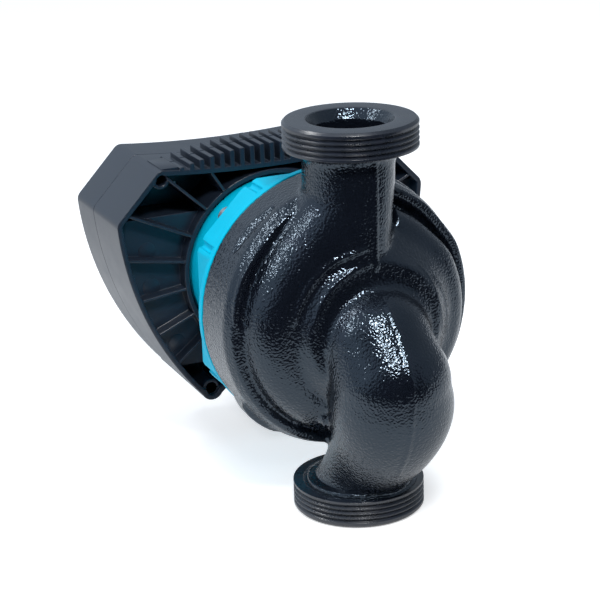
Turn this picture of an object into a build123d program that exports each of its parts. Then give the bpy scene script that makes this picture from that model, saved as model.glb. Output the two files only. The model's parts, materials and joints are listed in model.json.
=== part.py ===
from build123d import *
import os
from math import atan2, cos, degrees, pi, radians, sin, tan

# Circulator pump with a wet rotor, threaded in line between two pipes.
# It is drawn about the point where the pipe axis (Z) crosses the motor axis (Y).
# +Z points to the discharge port and +Y to the electronics box. write() lifts all
# of it by half the port distance, so that the origin is the centre of the inlet face.

# ------------------------------------------------------------------ pipe ports
PORT_TO_PORT = 180.0      # face to face
THREAD_R = 29.8           # crest of a G 2 pipe thread
THREAD_PITCH = 2.309
THREAD_DEPTH = 1.48
THREAD_FLANK = 0.42       # width of each flank of a thread, as a share of the pitch
THREAD_BEVEL = 1.2
PORT_RING_H = 12.5
PORT_BORE_R = 16.0
MOUTH_R = 19.5            # countersink at the port face
MOUTH_DEPTH = 4.5

# ------------------------------------------- radii round the motor axis, inside out
SHAFT_R = 6.0
EYE_R = 20.5              # bore of the casting that holds the wear ring
IMPELLER_R = 38.0
CHAMBER_ROOM = 7.0        # from the impeller's rim to the wall of its chamber
REGISTER_STEP = 3.0
CHAMBER_R = IMPELLER_R + CHAMBER_ROOM
REGISTER_R = CHAMBER_R + REGISTER_STEP    # bore that centres the bearing plate and the can
FLANGE_SCREW_INSET, FLANGE_SCREW_EDGE = 6.0, 8.0
FLANGE_SCREW_ORBIT = REGISTER_R + FLANGE_SCREW_INSET
RIM_R = FLANGE_SCREW_ORBIT + FLANGE_SCREW_EDGE

# --------------------------------------------------------------- volute casting
CAST_WALL = 5.0
RIM_Y0, RIM_Y1 = 2.0, 27.9      # front of the straight rim, joint face to the motor
SHOULDER_SET, SHOULDER_LAND, SHOULDER_FALL = 2.2, 3.3, 0.2
SHOULDER_R, SHOULDER_Y = RIM_R - SHOULDER_SET, -3.2
GROOVE_SET, GROOVE_Y = 8.4, 1.0
SHOULDER_TILT = 4.6       # the shoulder falls back towards +X, where the channel is narrow
PAD_ANGLE, PAD_R, PAD_PROUD = 222.0, 24.0, 2.4       # swelling of the rim over one screw
PAD_Y0, PAD_Y1 = 5.0, 17.0
TONGUE_DEG = 65.0         # where the spiral starts, from +X towards +Z
SPIRAL_TURN = 289.0       # how far it runs round before it leaves for the neck
SPIRAL_OUT, SPIRAL_IN = 5.0, -1.8     # channel's centre from the impeller's rim, start and end
CHANNEL_R0, CHANNEL_R1 = 9.0, 18.6    # outside radius of the channel, start and end
SPIRAL_STATIONS = 9
BEND_SHARES = (0.3, 0.55, 0.8, 1.0)   # where sections stand on the bend into the neck
NECK_X, NECK_Y = -1.2, -1.7
NECK_R = 21.2
NECK_FOOT_X, NECK_FOOT_Z, NECK_FOOT_R = -4.4, 28.0, 20.4
NECK_STRAIGHT = 24.0      # straight length of neck below the port face
NECK_LAP = 1.0            # how far the neck runs into the port ring
LEAVE_PULL, NECK_PULL = 22.0, 16.0    # how softly the channel bends into the neck
EYE_RIM_W, EYE_RIM_Y = 10.5, -22.6    # raised ring round the eye: front edge
EYE_FOOT_W, EYE_FOOT_Y = 23.0, -9.5   # and foot, both from the eye's bore

# ---------------------------------------------------------------- suction elbow
ELBOW_FOOT = (0.0, -1.0, -79.0, 5.0, 22.0)     # each: X, Y, Z, lean in degrees, radius
ELBOW_LOW = (1.3, -10.0, -66.0, 27.0, 19.8)
ELBOW_MID = (3.3, -21.5, -48.0, 31.0, 24.7)
BALL, BALL_LEAN, BALL_R = (2.2, -30.3, -21.5), 8.0, 26.3     # middle of the bend, as X, Y, Z
CROWN_Y, CROWN_Z, CROWN_R = -20.0, -6.0, 25.0
BEND_PROUD = 0.1          # a ball at a bend is this much larger than the pipes that end in it
SUCTION_LOW_R, SUCTION_MID_R, SUCTION_BALL_R = 16.4, 17.0, 18.0   # passage inside the elbow

# -------------------------------------------------------------------- hydraulics
WEAR_RING_L, WEAR_RING_T, WEAR_RING_GAP = 8.0, 2.2, 0.6
IMPELLER_LIP_T = 2.3
WEAR_RING_IN = EYE_R - WEAR_RING_T
IMPELLER_EYE_R = WEAR_RING_IN - IMPELLER_LIP_T
SHROUD_T = 1.8
FLARE_RISE, FLARE_POWER, FLARE_STEPS = 8.0, 1.5, 6    # curve of the shroud from rim to eye
OUTLET_Y0, OUTLET_Y1 = 2.5, 9.5       # outlet of the impeller
BACK_PLATE_T = 2.5
BLADE_COUNT = 6
BLADE_T = 2.0
BLADE_IN_R = 2 * SHAFT_R
BLADE_SWEEP, BLADE_BEND = 62.0, 0.45  # turn of a blade, and the share of it at mid radius
HUB_T, HUB_FLARE, HUB_NOSE_T = 4.0, 3.0, 1.6
CHAMBER_GAP = 1.0         # between the shroud and the casting
REGISTER_DEPTH = 7.9
REGISTER_Y = RIM_Y1 - REGISTER_DEPTH

# -------------------------------------------------------------- rotor, can, motor
SHAFT_Y0 = -9.0
SHAFT_COLLAR_T = 1.5
CLIP_T, CLIP_L = 2.2, 2.0
BEARING_GAP = 0.03        # running clearance on the radius
BEARING_T = 4.0
BEARING_R = SHAFT_R + BEARING_T
FRONT_BEARING_DEPTH, FRONT_BEARING_L = 12.9, 14.0
FRONT_BEARING = (RIM_Y1 - FRONT_BEARING_DEPTH, RIM_Y1 - FRONT_BEARING_DEPTH + FRONT_BEARING_L)
THRUST_T, THRUST_GAP, THRUST_STEP = 2.0, 0.6, 0.5
PLATE_T = 2.0
PLATE_DISH_SET, PLATE_DISH_DEPTH = 5.0, 7.0
PLATE_FLARE, PLATE_BEND = 3.0, 1.5
PLATE_HUB_T = 2.5
SEAL_T = 3.5
SEAL_W = 3.4
ROTOR_R = 19.0
ROTOR_SET, ROTOR_L = 12.1, 44.0       # start of the rotor behind the joint face, and length
ROTOR_Y0, ROTOR_Y1 = RIM_Y1 + ROTOR_SET, RIM_Y1 + ROTOR_SET + ROTOR_L
SLEEVE_T = 0.6
ROTOR_END_T = 2.0
MAGNET_COUNT = 6
MAGNET_SET, MAGNET_T = 2.0, 4.0
MAGNET_ARC = 46.0
CAN_GAP = 0.6
CAN_IN_R = ROTOR_R + CAN_GAP
CAN_WALL = 0.9
CAN_END_GAP, CAN_END_T = 6.0, 1.5
CAN_END_Y = ROTOR_Y1 + CAN_END_GAP
CAN_TIP_GAP = 1.0
REAR_BEARING_SET, REAR_BEARING_L = 0.5, 10.5
REAR_BEARING = (CAN_END_Y + REAR_BEARING_SET, CAN_END_Y + REAR_BEARING_SET + REAR_BEARING_L)
SHAFT_END_SET = 1.0
SHAFT_Y1 = REAR_BEARING[1] - SHAFT_END_SET
STATOR_GAP = 0.1
STATOR_R = 40.0
STATOR_YOKE = 4.5
TEETH = 9
TOOTH_W = 6.0
TOOTH_TIP = 3.0
TOOTH_LAP = 1.0           # how far a tooth runs into the yoke and past the bore
COIL_W = 4.4
COIL_T = 5.0
COIL_GAP = 1.0            # from the coil to the yoke and to the tooth's tip
INSULATOR_T = 2.0
LEAD_R, LEAD_SET = 0.8, 0.6
LEAD_STEP = 12.0
LEAD_ORBIT = STATOR_R - STATOR_YOKE + LEAD_SET + LEAD_R
LEAD_PROUD = 1.0
HOUSING_FLANGE_T = 3.9
HOUSING_FLAT_SET = 5.8    # the four flats behind the flange, in from the rim
HOUSING_FACET_SET = 1.4   # and the four corner facets
HOUSING_SQUARE_T = 17.1
HOUSING_SQUARE_Y = RIM_Y1 + HOUSING_SQUARE_T
HOUSING_NOTCH_R, HOUSING_NOTCH_DEG = 1.7, 16.0
HOUSING_WALL, HOUSING_END_GAP, HOUSING_END_T = 3.2, 11.0, 4.0
HOUSING_R = STATOR_R + HOUSING_WALL
HOUSING_END_Y = REAR_BEARING[1] + HOUSING_END_GAP
FLANGE_SCREW_R, FLANGE_HEAD_R, FLANGE_HEAD_H = 3.0, 5.0, 6.0
FLANGE_SOCKET_R, FLANGE_SOCKET_H = 2.9, 3.0
FLANGE_SCREW_DEPTH = 14.0

# ------------------------------------------------------------- electronics box
BOX_LAP, BOX_SHELL_L, BOX_COVER_L = 25.2, 35.2, 26.5
BOX_Y0 = HOUSING_END_Y - BOX_LAP      # rear rim, parting line, front face
BOX_PART = BOX_Y0 + BOX_SHELL_L
BOX_Y1 = BOX_PART + BOX_COVER_L
BOX_WALL = 2.5
COLLAR_GAP, COLLAR_WALL = 1.4, 2.4    # ring of the box round the motor
COLLAR_R = HOUSING_R + COLLAR_GAP
COLLAR_SET = 0.8          # how far the ring stands back from the rim
SIDE_OUT, SIDE_Z = 34.7, 30.8         # the corners of the outline, out from the collar
TOP_OUT, TOP_RISE = 12.6, 9.4
WAIST_OUT, WAIST_Z = 25.7, -11.5
FOOT_INSET, FOOT_DROP = 3.4, 15.8
SIDE_X, TOP_X, TOP_Z = COLLAR_R + SIDE_OUT, COLLAR_R + TOP_OUT, COLLAR_R + TOP_RISE
WAIST_X, FOOT_X, FOOT_Z = COLLAR_R + WAIST_OUT, COLLAR_R - FOOT_INSET, -COLLAR_R - FOOT_DROP
TOP_DIP = 3.0             # how far the top sinks in the middle
SCREW_FOOT_SET, SCREW_HEAD_SET = (5.2, 2.1), (1.2, 5.1)    # box screws, in from the corners
SCREW_FOOT_X, SCREW_FOOT_Z = FOOT_X - SCREW_FOOT_SET[0], FOOT_Z + SCREW_FOOT_SET[1]
SCREW_HEAD_X, SCREW_HEAD_Z = TOP_X - SCREW_HEAD_SET[0], TOP_Z - SCREW_HEAD_SET[1]
LOBE_R = 5.6
LOBE_W, LOBE_DROP = 9.4, 1.2
LOBE_IN_X, LOBE_IN_Z = FOOT_X - LOBE_W, FOOT_Z - LOBE_DROP
ARCH_W, ARCH_RISE, ARCH_MID_RISE = 15.7, 4.2, 6.4
ARCH_X, ARCH_Z, ARCH_MID_Z = FOOT_X - ARCH_W, FOOT_Z + ARCH_RISE, FOOT_Z + ARCH_MID_RISE
FLOOR_SET, DEEP_FLOOR_SET, FLOOR_T = 7.2, 27.2, 2.5
FLOOR_Y, DEEP_FLOOR_Y = BOX_Y0 + FLOOR_SET, BOX_Y0 + DEEP_FLOOR_SET
SHALLOW_Z0, SHALLOW_Z1 = -45.0, 29.0  # the shallow floor lies between these heights
RIB_T = 1.4
RIB_SET = 0.9
RIB_ANGLES = (122.0, 137.0, 155.0, 170.5, 187.0, 203.5, 219.0)
BOSS_R, BOSS_HOLE_R, BOSS_SET = 4.4, 2.8, 2.0
BOX_SCREW_R, BOX_SCREW_HEAD_R, BOX_SCREW_HEAD_H = 1.5, 2.7, 2.2
BOX_SCREW_SEAT_DEPTH, BOX_SCREW_BITE = 10.0, 9.0
BOX_SCREW_SEAT = BOX_PART - BOX_SCREW_SEAT_DEPTH
CROSS_W, CROSS_T, CROSS_DEPTH = 4.86, 0.7, 1.0    # recess for a cross-head driver
FIN_COUNT = 19
FIN_PITCH = 5.1
FIN_T = 2.4
FIN_L = 26.0
FIN_CREST = 9.2           # above the dip, on the middle fin
FIN_EDGE = 3.2            # above the dip, on the outer fins
FIN_SPLIT_W, FIN_SPLIT_DEPTH = 0.8, 0.5
EDGE_R = 1.8
GASKET_W, GASKET_T = 1.1, 1.2
SHELL_SCREW_SET, SHELL_SCREW_R = 5.0, 2.0
SHELL_SCREW_ORBIT = STATOR_R - SHELL_SCREW_SET
SHELL_SCREW_HEAD_R, SHELL_SCREW_HEAD_H = 3.5, 2.8
SHELL_SCREW_DEPTH, SHELL_SCREW_TIP_GAP = 9.0, 1.0
SHELL_PAD_R = 4.4
LEAD_HOLE_R = 2.2

# ------------------------------------------------------------- boards and parts
SPREADER = (44.0, 12.0, 1.3)          # width, height, thickness
POWER_BOARD_SET, BOARD_T = 2.2, 1.6   # the board stands off the heat spreader
POWER_BOARD_Y = DEEP_FLOOR_Y + FLOOR_T + SPREADER[2] + POWER_BOARD_SET
POWER_BOARD_INSET = 5.0
POWER_BOARD_Z0, POWER_BOARD_Z1 = -44.0, 43.0
COLLAR_OUT = COLLAR_R + COLLAR_WALL
POST_HEAD, POST_FOOT = (7.0, 39.0), (3.0, -33.0)     # in from the collar's side; height
POWER_POSTS = ((COLLAR_OUT - POST_HEAD[0], POST_HEAD[1]), (COLLAR_OUT - POST_FOOT[0], POST_FOOT[1]))
POST_R = 3.2
BOARD_SCREW_R, BOARD_SCREW_HEAD_R, BOARD_SCREW_HEAD_H = 1.25, 2.4, 1.8
BOARD_SCREW_DEPTH, BOARD_SCREW_TIP_GAP = 6.0, 1.5
BOARD_SLOT_W = 0.6
PART_GAP = 4.5            # from the collar to the tall parts on the board
CAPACITOR_R, CAPACITOR_L = 7.5, 19.0
CAPACITOR_X, CAPACITOR_Z = -(COLLAR_OUT + PART_GAP + CAPACITOR_R), (16.0, -4.0)
CHOKE_R, CHOKE_HOLE_R, CHOKE_L, CHOKE_GAP = 9.0, 3.8, 11.0, 3.0
CHOKE_X, CHOKE_Z = COLLAR_OUT + CHOKE_GAP + CHOKE_R, 12.0
CHOKE_WIRE_R, CHOKE_TURNS, CHOKE_SINK = 0.8, 9, 1.2
MODULE = (34.0, 9.0)                  # width, height
SPREADER_DROP = 0.4
SPREADER_Z = LEAD_ORBIT - SPREADER_DROP
TERMINAL = (27.0, 9.0, 11.0)          # width, depth, height
TERMINAL_Z = -38.0
TERMINAL_WAYS = 3
TERMINAL_HOLE_R, TERMINAL_SLOT_W, TERMINAL_SLOT_DEPTH = 1.9, 0.6, 0.8
DISPLAY_BOARD_DEPTH = 10.0
DISPLAY_BOARD_Y = BOX_Y1 - DISPLAY_BOARD_DEPTH
DISPLAY_BOARD = (66.0, 40.0)
DISPLAY_Z = 14.0
DISPLAY_POST_R, DISPLAY_SCREW_DEPTH = 2.8, 5.0
SEGMENT = (24.0, 11.0, 4.0)
SEGMENT_RISE = 10.0       # display above the middle of its board
WINDOW = (34.0, 17.0, 1.5)
WINDOW_LEDGE = 1.5
BUTTON_PITCH = 17.0
BUTTON_DROP = 9.0         # buttons below the middle of the board
BUTTON_R, BUTTON_PROUD, BUTTON_GAP, BUTTON_BEVEL = 5.0, 1.3, 0.25, 0.5
BUTTON_FLANGE, BUTTON_FLANGE_T = 1.2, 0.9
BUTTON_TRAVEL = 0.6
SWITCH_SIZE, SWITCH_H, PLUNGER_R = 6.0, 3.0, 1.6
LABEL = (60.0, 22.0, 0.5)
LABEL_Z = -27.0
LAMP_R, LAMP_X = 1.6, 24.0

# ------------------------------------------------------------------- cable entry
GLAND_SET = 8.5
GLAND_Y = BOX_PART + GLAND_SET
GLAND_R = 7.5
GLAND_THREAD_R, GLAND_THREAD_PROUD = 5.9, 1.0
GLAND_COLLAR_H, GLAND_NUT_H, GLAND_LOCK_H = 4.0, 11.0, 3.0
GLAND_NUT_AF, GLAND_NUT_R, GLAND_LOCK_AF = 14.6, 8.176, 14.0
GLAND_DOME = (8.25, 17.6, 15.4, 3.85)     # radii at the low and high end, height, drop
GLAND_BORE_R = 3.5
GLAND_SEAL_R, GLAND_SEAL_H = 4.7, 6.0
GLAND_PAD, GLAND_PAD_EDGE = 2.0, 1.0

FIT = 0.2                 # plain clearance between moulded pieces
TAP_FIT = 0.05            # radial gap left for the thread of a screw
LAP = 1.0                 # how far one shape runs into or past another

PORT_Z = PORT_TO_PORT / 2
CORNERS = (45.0, 135.0, 225.0, 315.0)


# --------------------------------------------------------------------- helpers
def face(points):
    return make_face(Polyline(*points, close=True))


def about_y(points):
    """Turn an outline of (radius, y) points about the motor axis."""
    return revolve(face(points), Axis.Y)


def about_z(points):
    """Turn an outline of (radius, z) points about the pipe axis."""
    return revolve(Plane.XZ * face(points), Axis.Z)


def prism(sketch, y0, y1):
    """Extrude an (X, Z) sketch along the motor axis."""
    return extrude(Plane.XZ.offset(-y0) * sketch, amount=y0 - y1)


def rod(radius, y0, y1, x=0.0, z=0.0):
    return prism(Pos(x, z) * Circle(radius), y0, y1)


def tube(outer, inner, y0, y1, x=0.0, z=0.0):
    return prism(Pos(x, z) * (Circle(outer) - Circle(inner)), y0, y1)


def pillar(radius, z0, z1, x=0.0, y=0.0):
    return Pos(x, y, (z0 + z1) / 2) * Cylinder(radius, z1 - z0)


def block(x0, x1, y0, y1, z0, z1):
    centre = Pos((x0 + x1) / 2, (y0 + y1) / 2, (z0 + z1) / 2)
    return centre * Box(x1 - x0, y1 - y0, z1 - z0)


def plate(width, height, y0, y1, x=0.0, z=0.0):
    return block(x - width / 2, x + width / 2, y0, y1, z - height / 2, z + height / 2)


def polar(radius, degrees_round):
    """X and Z of a point on a circle round the motor axis."""
    angle = radians(degrees_round)
    return radius * cos(angle), radius * sin(angle)


def ring_of(shape, angles):
    """Copies of a shape turned about the motor axis. Positive turns +X towards +Z."""
    return [Rot(0, -angle, 0) * shape for angle in angles]


def all_round(count):
    return [360 / count * k for k in range(count)]


def union(shapes):
    total = shapes[0]
    for shape in shapes[1:]:
        total = total + shape
    return total


def group(shapes):
    """Separate solids that share one node."""
    return Compound([solid for shape in shapes for solid in shape.solids()])


def hexagon(across_flats):
    return RegularPolygon(across_flats / 2, 6, major_radius=False)


def socket_screw(x, z, seat, end, shank_r, head_r, head_h, socket):
    """Cap screw whose head looks along +Y. socket is (inner radius, depth)."""
    head = rod(head_r, seat, seat + head_h, x, z)
    top = seat + head_h
    well = prism(Pos(x, z) * RegularPolygon(socket[0], 6), top - socket[1], top)
    return rod(shank_r, end, seat, x, z) + head - well


# ---------------------------------------------------------------------- casting
def port_ring():
    """Threaded end of the casting, with its face at PORT_Z."""
    root = THREAD_R - THREAD_DEPTH
    z = PORT_Z - PORT_RING_H
    outline = [(0, z), (THREAD_R, z)]
    groove = z + THREAD_PITCH / 2
    while groove + THREAD_PITCH / 2 < PORT_Z - THREAD_BEVEL:
        half = THREAD_PITCH * THREAD_FLANK
        outline += [(THREAD_R, groove), (root, groove + half), (THREAD_R, groove + 2 * half)]
        groove += THREAD_PITCH
    outline += [(THREAD_R, PORT_Z - THREAD_BEVEL), (THREAD_R - THREAD_BEVEL, PORT_Z), (0, PORT_Z)]
    return about_z(outline)


def port_mouth():
    """Countersink and straight start of a port's passage."""
    low = PORT_Z - PORT_RING_H
    return about_z([
        (0, low), (PORT_BORE_R, low), (PORT_BORE_R, PORT_Z - MOUTH_DEPTH),
        (MOUTH_R, PORT_Z), (MOUTH_R, PORT_Z + LAP), (0, PORT_Z + LAP),
    ])


def channel_section(x, y, z, lean, radius):
    """Round section square to a path that leans by so many degrees from +Z to +X."""
    along = (sin(radians(lean)), 0, cos(radians(lean)))
    return Plane(origin=(x, y, z), x_dir=(0, 1, 0), z_dir=along) * Circle(radius)


def bend_point(start, pull_a, pull_b, end, t):
    """Point of a cubic curve, and its direction, at t from 0 to 1."""
    s = 1 - t
    point = [
        s**3 * a + 3 * s * s * t * b + 3 * s * t * t * c + t**3 * d
        for a, b, c, d in zip(start, pull_a, pull_b, end)
    ]
    slope = [
        3 * s * s * (b - a) + 6 * s * t * (c - b) + 3 * t * t * (d - c)
        for a, b, c, d in zip(start, pull_a, pull_b, end)
    ]
    return point, slope


def spiral_sections(wall):
    """Sections of the spiral channel and of the bend that leads it into the neck."""
    sections = []
    for station in range(SPIRAL_STATIONS):
        share = station / (SPIRAL_STATIONS - 1)
        angle = TONGUE_DEG - SPIRAL_TURN * share
        orbit = IMPELLER_R + SPIRAL_OUT + (SPIRAL_IN - SPIRAL_OUT) * share
        radius = CHANNEL_R0 + (CHANNEL_R1 - CHANNEL_R0) * share - wall
        x, z = polar(orbit, angle)
        lean = degrees(atan2(sin(radians(angle)), -cos(radians(angle))))
        sections.append(channel_section(x, 0, z, lean, radius))
    neck_z = PORT_Z - NECK_STRAIGHT
    out = (sin(radians(lean)), cos(radians(lean)))
    start, end = (x, 0, z), (NECK_X, NECK_Y, neck_z)
    pull_a = (x + LEAVE_PULL * out[0], 0, z + LEAVE_PULL * out[1])
    pull_b = (NECK_X, NECK_Y, neck_z - NECK_PULL)
    hollow = wall > 0
    neck_r = PORT_BORE_R if hollow else NECK_R
    top = (0, 0) if hollow else (NECK_X, NECK_Y)
    for t in BEND_SHARES:
        point, slope = bend_point(start, pull_a, pull_b, end, t)
        grown = radius + (neck_r - radius) * t
        sections.append(channel_section(*point, degrees(atan2(slope[0], slope[2])), grown))
    sections.append(channel_section(*top, PORT_Z - PORT_RING_H + NECK_LAP, 0, neck_r))
    return sections


def elbow_section(x, y, z, lean, radius):
    """Round section of the suction pipe. lean is from +Z towards -Y."""
    along = (0, -sin(radians(lean)), cos(radians(lean)))
    return Plane(origin=(x, y, z), x_dir=(1, 0, 0), z_dir=along) * Circle(radius)


def between(start, end, r0, r1):
    """Round taper from one (x, y, z) point to another."""
    lean = degrees(atan2(start[1] - end[1], end[2] - start[2]))
    return loft([elbow_section(*start, lean, r0), elbow_section(*end, lean, r1)])


def elbow():
    rising = loft([
        elbow_section(*ELBOW_FOOT), elbow_section(*ELBOW_LOW), elbow_section(*ELBOW_MID),
        elbow_section(*BALL, BALL_LEAN, BALL_R),
    ])
    ball = Pos(*BALL) * Sphere(BALL_R + BEND_PROUD)
    crown = Pos(0, CROWN_Y, CROWN_Z) * Sphere(CROWN_R + BEND_PROUD)
    bend = between(BALL, (0, CROWN_Y, CROWN_Z), BALL_R, CROWN_R)
    return union([rising, ball, bend, crown, rod(CROWN_R, CROWN_Y, EYE_FOOT_Y, 0, CROWN_Z)])


def suction_passage():
    foot = (0.0, -PORT_Z + PORT_RING_H)
    rising = loft([
        elbow_section(0, *foot, 0, PORT_BORE_R),
        elbow_section(*ELBOW_LOW[:4], SUCTION_LOW_R),
        elbow_section(*ELBOW_MID[:4], SUCTION_MID_R),
        elbow_section(*BALL, BALL_LEAN, SUCTION_BALL_R),
    ])
    ball = Pos(*BALL) * Sphere(SUCTION_BALL_R + BEND_PROUD)
    bend = between(BALL, (0, CROWN_Y, 0), SUCTION_BALL_R, IMPELLER_EYE_R)
    eye = Pos(0, CROWN_Y, 0) * Sphere(IMPELLER_EYE_R + BEND_PROUD)
    return union([rising, ball, bend, eye, rod(IMPELLER_EYE_R, CROWN_Y, wear_ring_y()[0])])


def wear_ring_y():
    """Front and rear end of the wear ring, which stops short of the shroud's flare."""
    rear = shroud_front(EYE_R)[1] - CHAMBER_GAP - WEAR_RING_GAP
    return rear - WEAR_RING_L, rear


def shroud_front(radius):
    """Point on the front of the shroud's flare, at a radius."""
    share = (radius - IMPELLER_EYE_R) / (IMPELLER_R - IMPELLER_EYE_R)
    low = OUTLET_Y0 - SHROUD_T
    return radius, low - FLARE_RISE * (1 - share) ** FLARE_POWER


def chamber():
    """Room for the impeller, and the register that centres the motor's pieces."""
    y0, y1 = wear_ring_y()
    edge = IMPELLER_R + CHAMBER_GAP
    steps = FLARE_STEPS - 2
    flare = [shroud_front(EYE_R + (edge - EYE_R) * k / steps) for k in range(steps)]
    flare = [(r, y - CHAMBER_GAP) for r, y in flare]
    return about_y([
        (0, y0), (EYE_R, y0), (EYE_R, y1), *flare,
        (edge, OUTLET_Y0 - SHROUD_T - CHAMBER_GAP), (CHAMBER_R, OUTLET_Y0 + CHAMBER_GAP),
        (CHAMBER_R, REGISTER_Y), (REGISTER_R, REGISTER_Y), (REGISTER_R, RIM_Y1 + LAP), (0, RIM_Y1 + LAP),
    ])


def rim_disc():
    """Straight rim whose front is a rounded shoulder, leant back towards +X."""
    outer = RIM_R + 2 * LAP
    bevel_y = SHOULDER_Y + (outer - SHOULDER_R) * (RIM_Y0 - SHOULDER_Y) / SHOULDER_SET
    front = about_y([
        (0, 2 * RIM_Y1), (outer, 2 * RIM_Y1), (outer, bevel_y), (SHOULDER_R, SHOULDER_Y),
        (SHOULDER_R - SHOULDER_LAND, SHOULDER_Y - SHOULDER_FALL),
        (RIM_R - GROOVE_SET, GROOVE_Y), (0, GROOVE_Y),
    ])
    hinge = Pos(-RIM_R, RIM_Y0, 0)
    leant = hinge * Rot(0, 0, SHOULDER_TILT) * hinge.inverse() * front
    rim = rod(RIM_R, SHOULDER_Y - LAP, RIM_Y1) & leant
    return rim + rod(PAD_R, PAD_Y0, PAD_Y1, *polar(RIM_R + PAD_PROUD - PAD_R, PAD_ANGLE))


def volute_casting():
    eye_ring = about_y([
        (0, EYE_RIM_Y), (EYE_R + EYE_RIM_W, EYE_RIM_Y), (EYE_R + EYE_FOOT_W, EYE_FOOT_Y),
        (EYE_R + EYE_FOOT_W, GROOVE_Y + LAP), (0, GROOVE_Y + LAP),
    ])
    channel = loft(spiral_sections(0))
    neck = loft([
        channel_section(NECK_FOOT_X, NECK_Y - NECK_R + NECK_FOOT_R, NECK_FOOT_Z, 0, NECK_FOOT_R),
        channel_section(NECK_X, NECK_Y, PORT_Z - NECK_STRAIGHT, 0, NECK_R),
    ])
    top = port_ring()
    bottom = mirror(top, about=Plane.XY)
    body = union([rim_disc(), eye_ring, channel, neck, elbow(), top, bottom])
    mouth = port_mouth()
    hollow = union([chamber(), loft(spiral_sections(CAST_WALL)), suction_passage(), mouth])
    body = body - hollow - mirror(mouth, about=Plane.XY)
    for angle in CORNERS:
        x, z = polar(FLANGE_SCREW_ORBIT, angle)
        tapped_y = RIM_Y1 - FLANGE_SCREW_DEPTH - LAP
        body = body - rod(FLANGE_SCREW_R + TAP_FIT, tapped_y, RIM_Y1 + LAP, x, z)
    return body


def wear_ring():
    y0, y1 = wear_ring_y()
    return tube(EYE_R, WEAR_RING_IN, y0, y1)


# --------------------------------------------------------------------- impeller
def shroud_outline(offset):
    """Flare of the shroud, from the eye out to the rim, set back along Y."""
    step = (IMPELLER_R - IMPELLER_EYE_R) / FLARE_STEPS
    radii = [IMPELLER_EYE_R + step * k for k in range(FLARE_STEPS + 1)]
    return [(r, shroud_front(r)[1] + offset) for r in radii]


def impeller_shroud():
    neck_r = WEAR_RING_IN - FIT
    y0, y1 = wear_ring_y()
    front = [point for point in shroud_outline(0) if point[0] > neck_r]
    back = shroud_outline(SHROUD_T)
    neck_y = shroud_front(neck_r)[1]
    return about_y([(IMPELLER_EYE_R, y0), (neck_r, y0), (neck_r, neck_y), *front, *reversed(back)])


def impeller():
    """Hub, back plate and blades, moulded in one piece."""
    plate_y1 = OUTLET_Y1 + BACK_PLATE_T
    nose_y, hub_r = clip_y()[1], SHAFT_R + HUB_T
    core = about_y([
        (SHAFT_R, nose_y), (SHAFT_R + HUB_NOSE_T, nose_y), (hub_r, OUTLET_Y1 - HUB_T),
        (hub_r + HUB_FLARE, OUTLET_Y1), (IMPELLER_R, OUTLET_Y1), (IMPELLER_R, plate_y1),
        (SHAFT_R, plate_y1),
    ])
    back = shroud_outline(SHROUD_T)
    inner, front_y = hub_r - HUB_T / 2, back[0][1] - LAP
    passage = about_y([(inner, front_y), *back, (IMPELLER_R, OUTLET_Y1), (inner, OUTLET_Y1)])
    mid_r = (BLADE_IN_R + IMPELLER_R) / 2
    path = ThreePointArc(
        polar(BLADE_IN_R, 0), polar(mid_r, BLADE_SWEEP * BLADE_BEND),
        polar(IMPELLER_R + LAP, BLADE_SWEEP))
    blade = prism(trace(path, BLADE_T), front_y, OUTLET_Y1) & passage
    blades = ring_of(blade, all_round(BLADE_COUNT))
    return union([core, *blades])


def clip_y():
    return SHAFT_Y0 + CLIP_L, SHAFT_Y0 + 2 * CLIP_L


def impeller_clip():
    """Push-on ring that holds the impeller on the nose of the shaft."""
    return tube(SHAFT_R + CLIP_T, SHAFT_R, *clip_y())


# ------------------------------------------------------------------------ rotor
def thrust_y():
    front = FRONT_BEARING[1] + THRUST_GAP
    return front, front + THRUST_T


def rotor_shaft():
    collar_y = thrust_y()[1]
    return rod(SHAFT_R, SHAFT_Y0, SHAFT_Y1) + rod(SHAFT_R + SHAFT_COLLAR_T, collar_y, ROTOR_Y0)


def thrust_washer():
    y0, y1 = thrust_y()
    return tube(BEARING_R - THRUST_STEP, SHAFT_R, y0, y1)


def magnet_bed():
    outer = ROTOR_R - MAGNET_SET
    arc = Circle(outer) - Circle(outer - MAGNET_T)
    half = tan(radians(MAGNET_ARC / 2)) * RIM_R
    wedge = face([(0, 0), (RIM_R, -half), (RIM_R, half)])
    y0, y1 = ROTOR_Y0 + ROTOR_END_T, ROTOR_Y1 - ROTOR_END_T
    return ring_of(prism(arc & wedge, y0, y1), all_round(MAGNET_COUNT))


def rotor_core():
    y0, y1 = ROTOR_Y0 + ROTOR_END_T, ROTOR_Y1 - ROTOR_END_T
    core = tube(ROTOR_R - SLEEVE_T, SHAFT_R, y0, y1)
    for bed in magnet_bed():
        core = core - bed
    return core


def rotor_magnets():
    return group(magnet_bed())


def rotor_sleeve():
    """Thin steel jacket with its two end discs, which keeps water off the magnets."""
    shell = tube(ROTOR_R, SHAFT_R, ROTOR_Y0, ROTOR_Y1)
    return shell - rod(ROTOR_R - SLEEVE_T, ROTOR_Y0 + ROTOR_END_T, ROTOR_Y1 - ROTOR_END_T)


# ---------------------------------------------------------- bearings and the can
def front_bearing():
    return tube(BEARING_R, SHAFT_R + BEARING_GAP, *FRONT_BEARING)


def rear_bearing():
    return tube(BEARING_R, SHAFT_R + BEARING_GAP, *REAR_BEARING)


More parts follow.
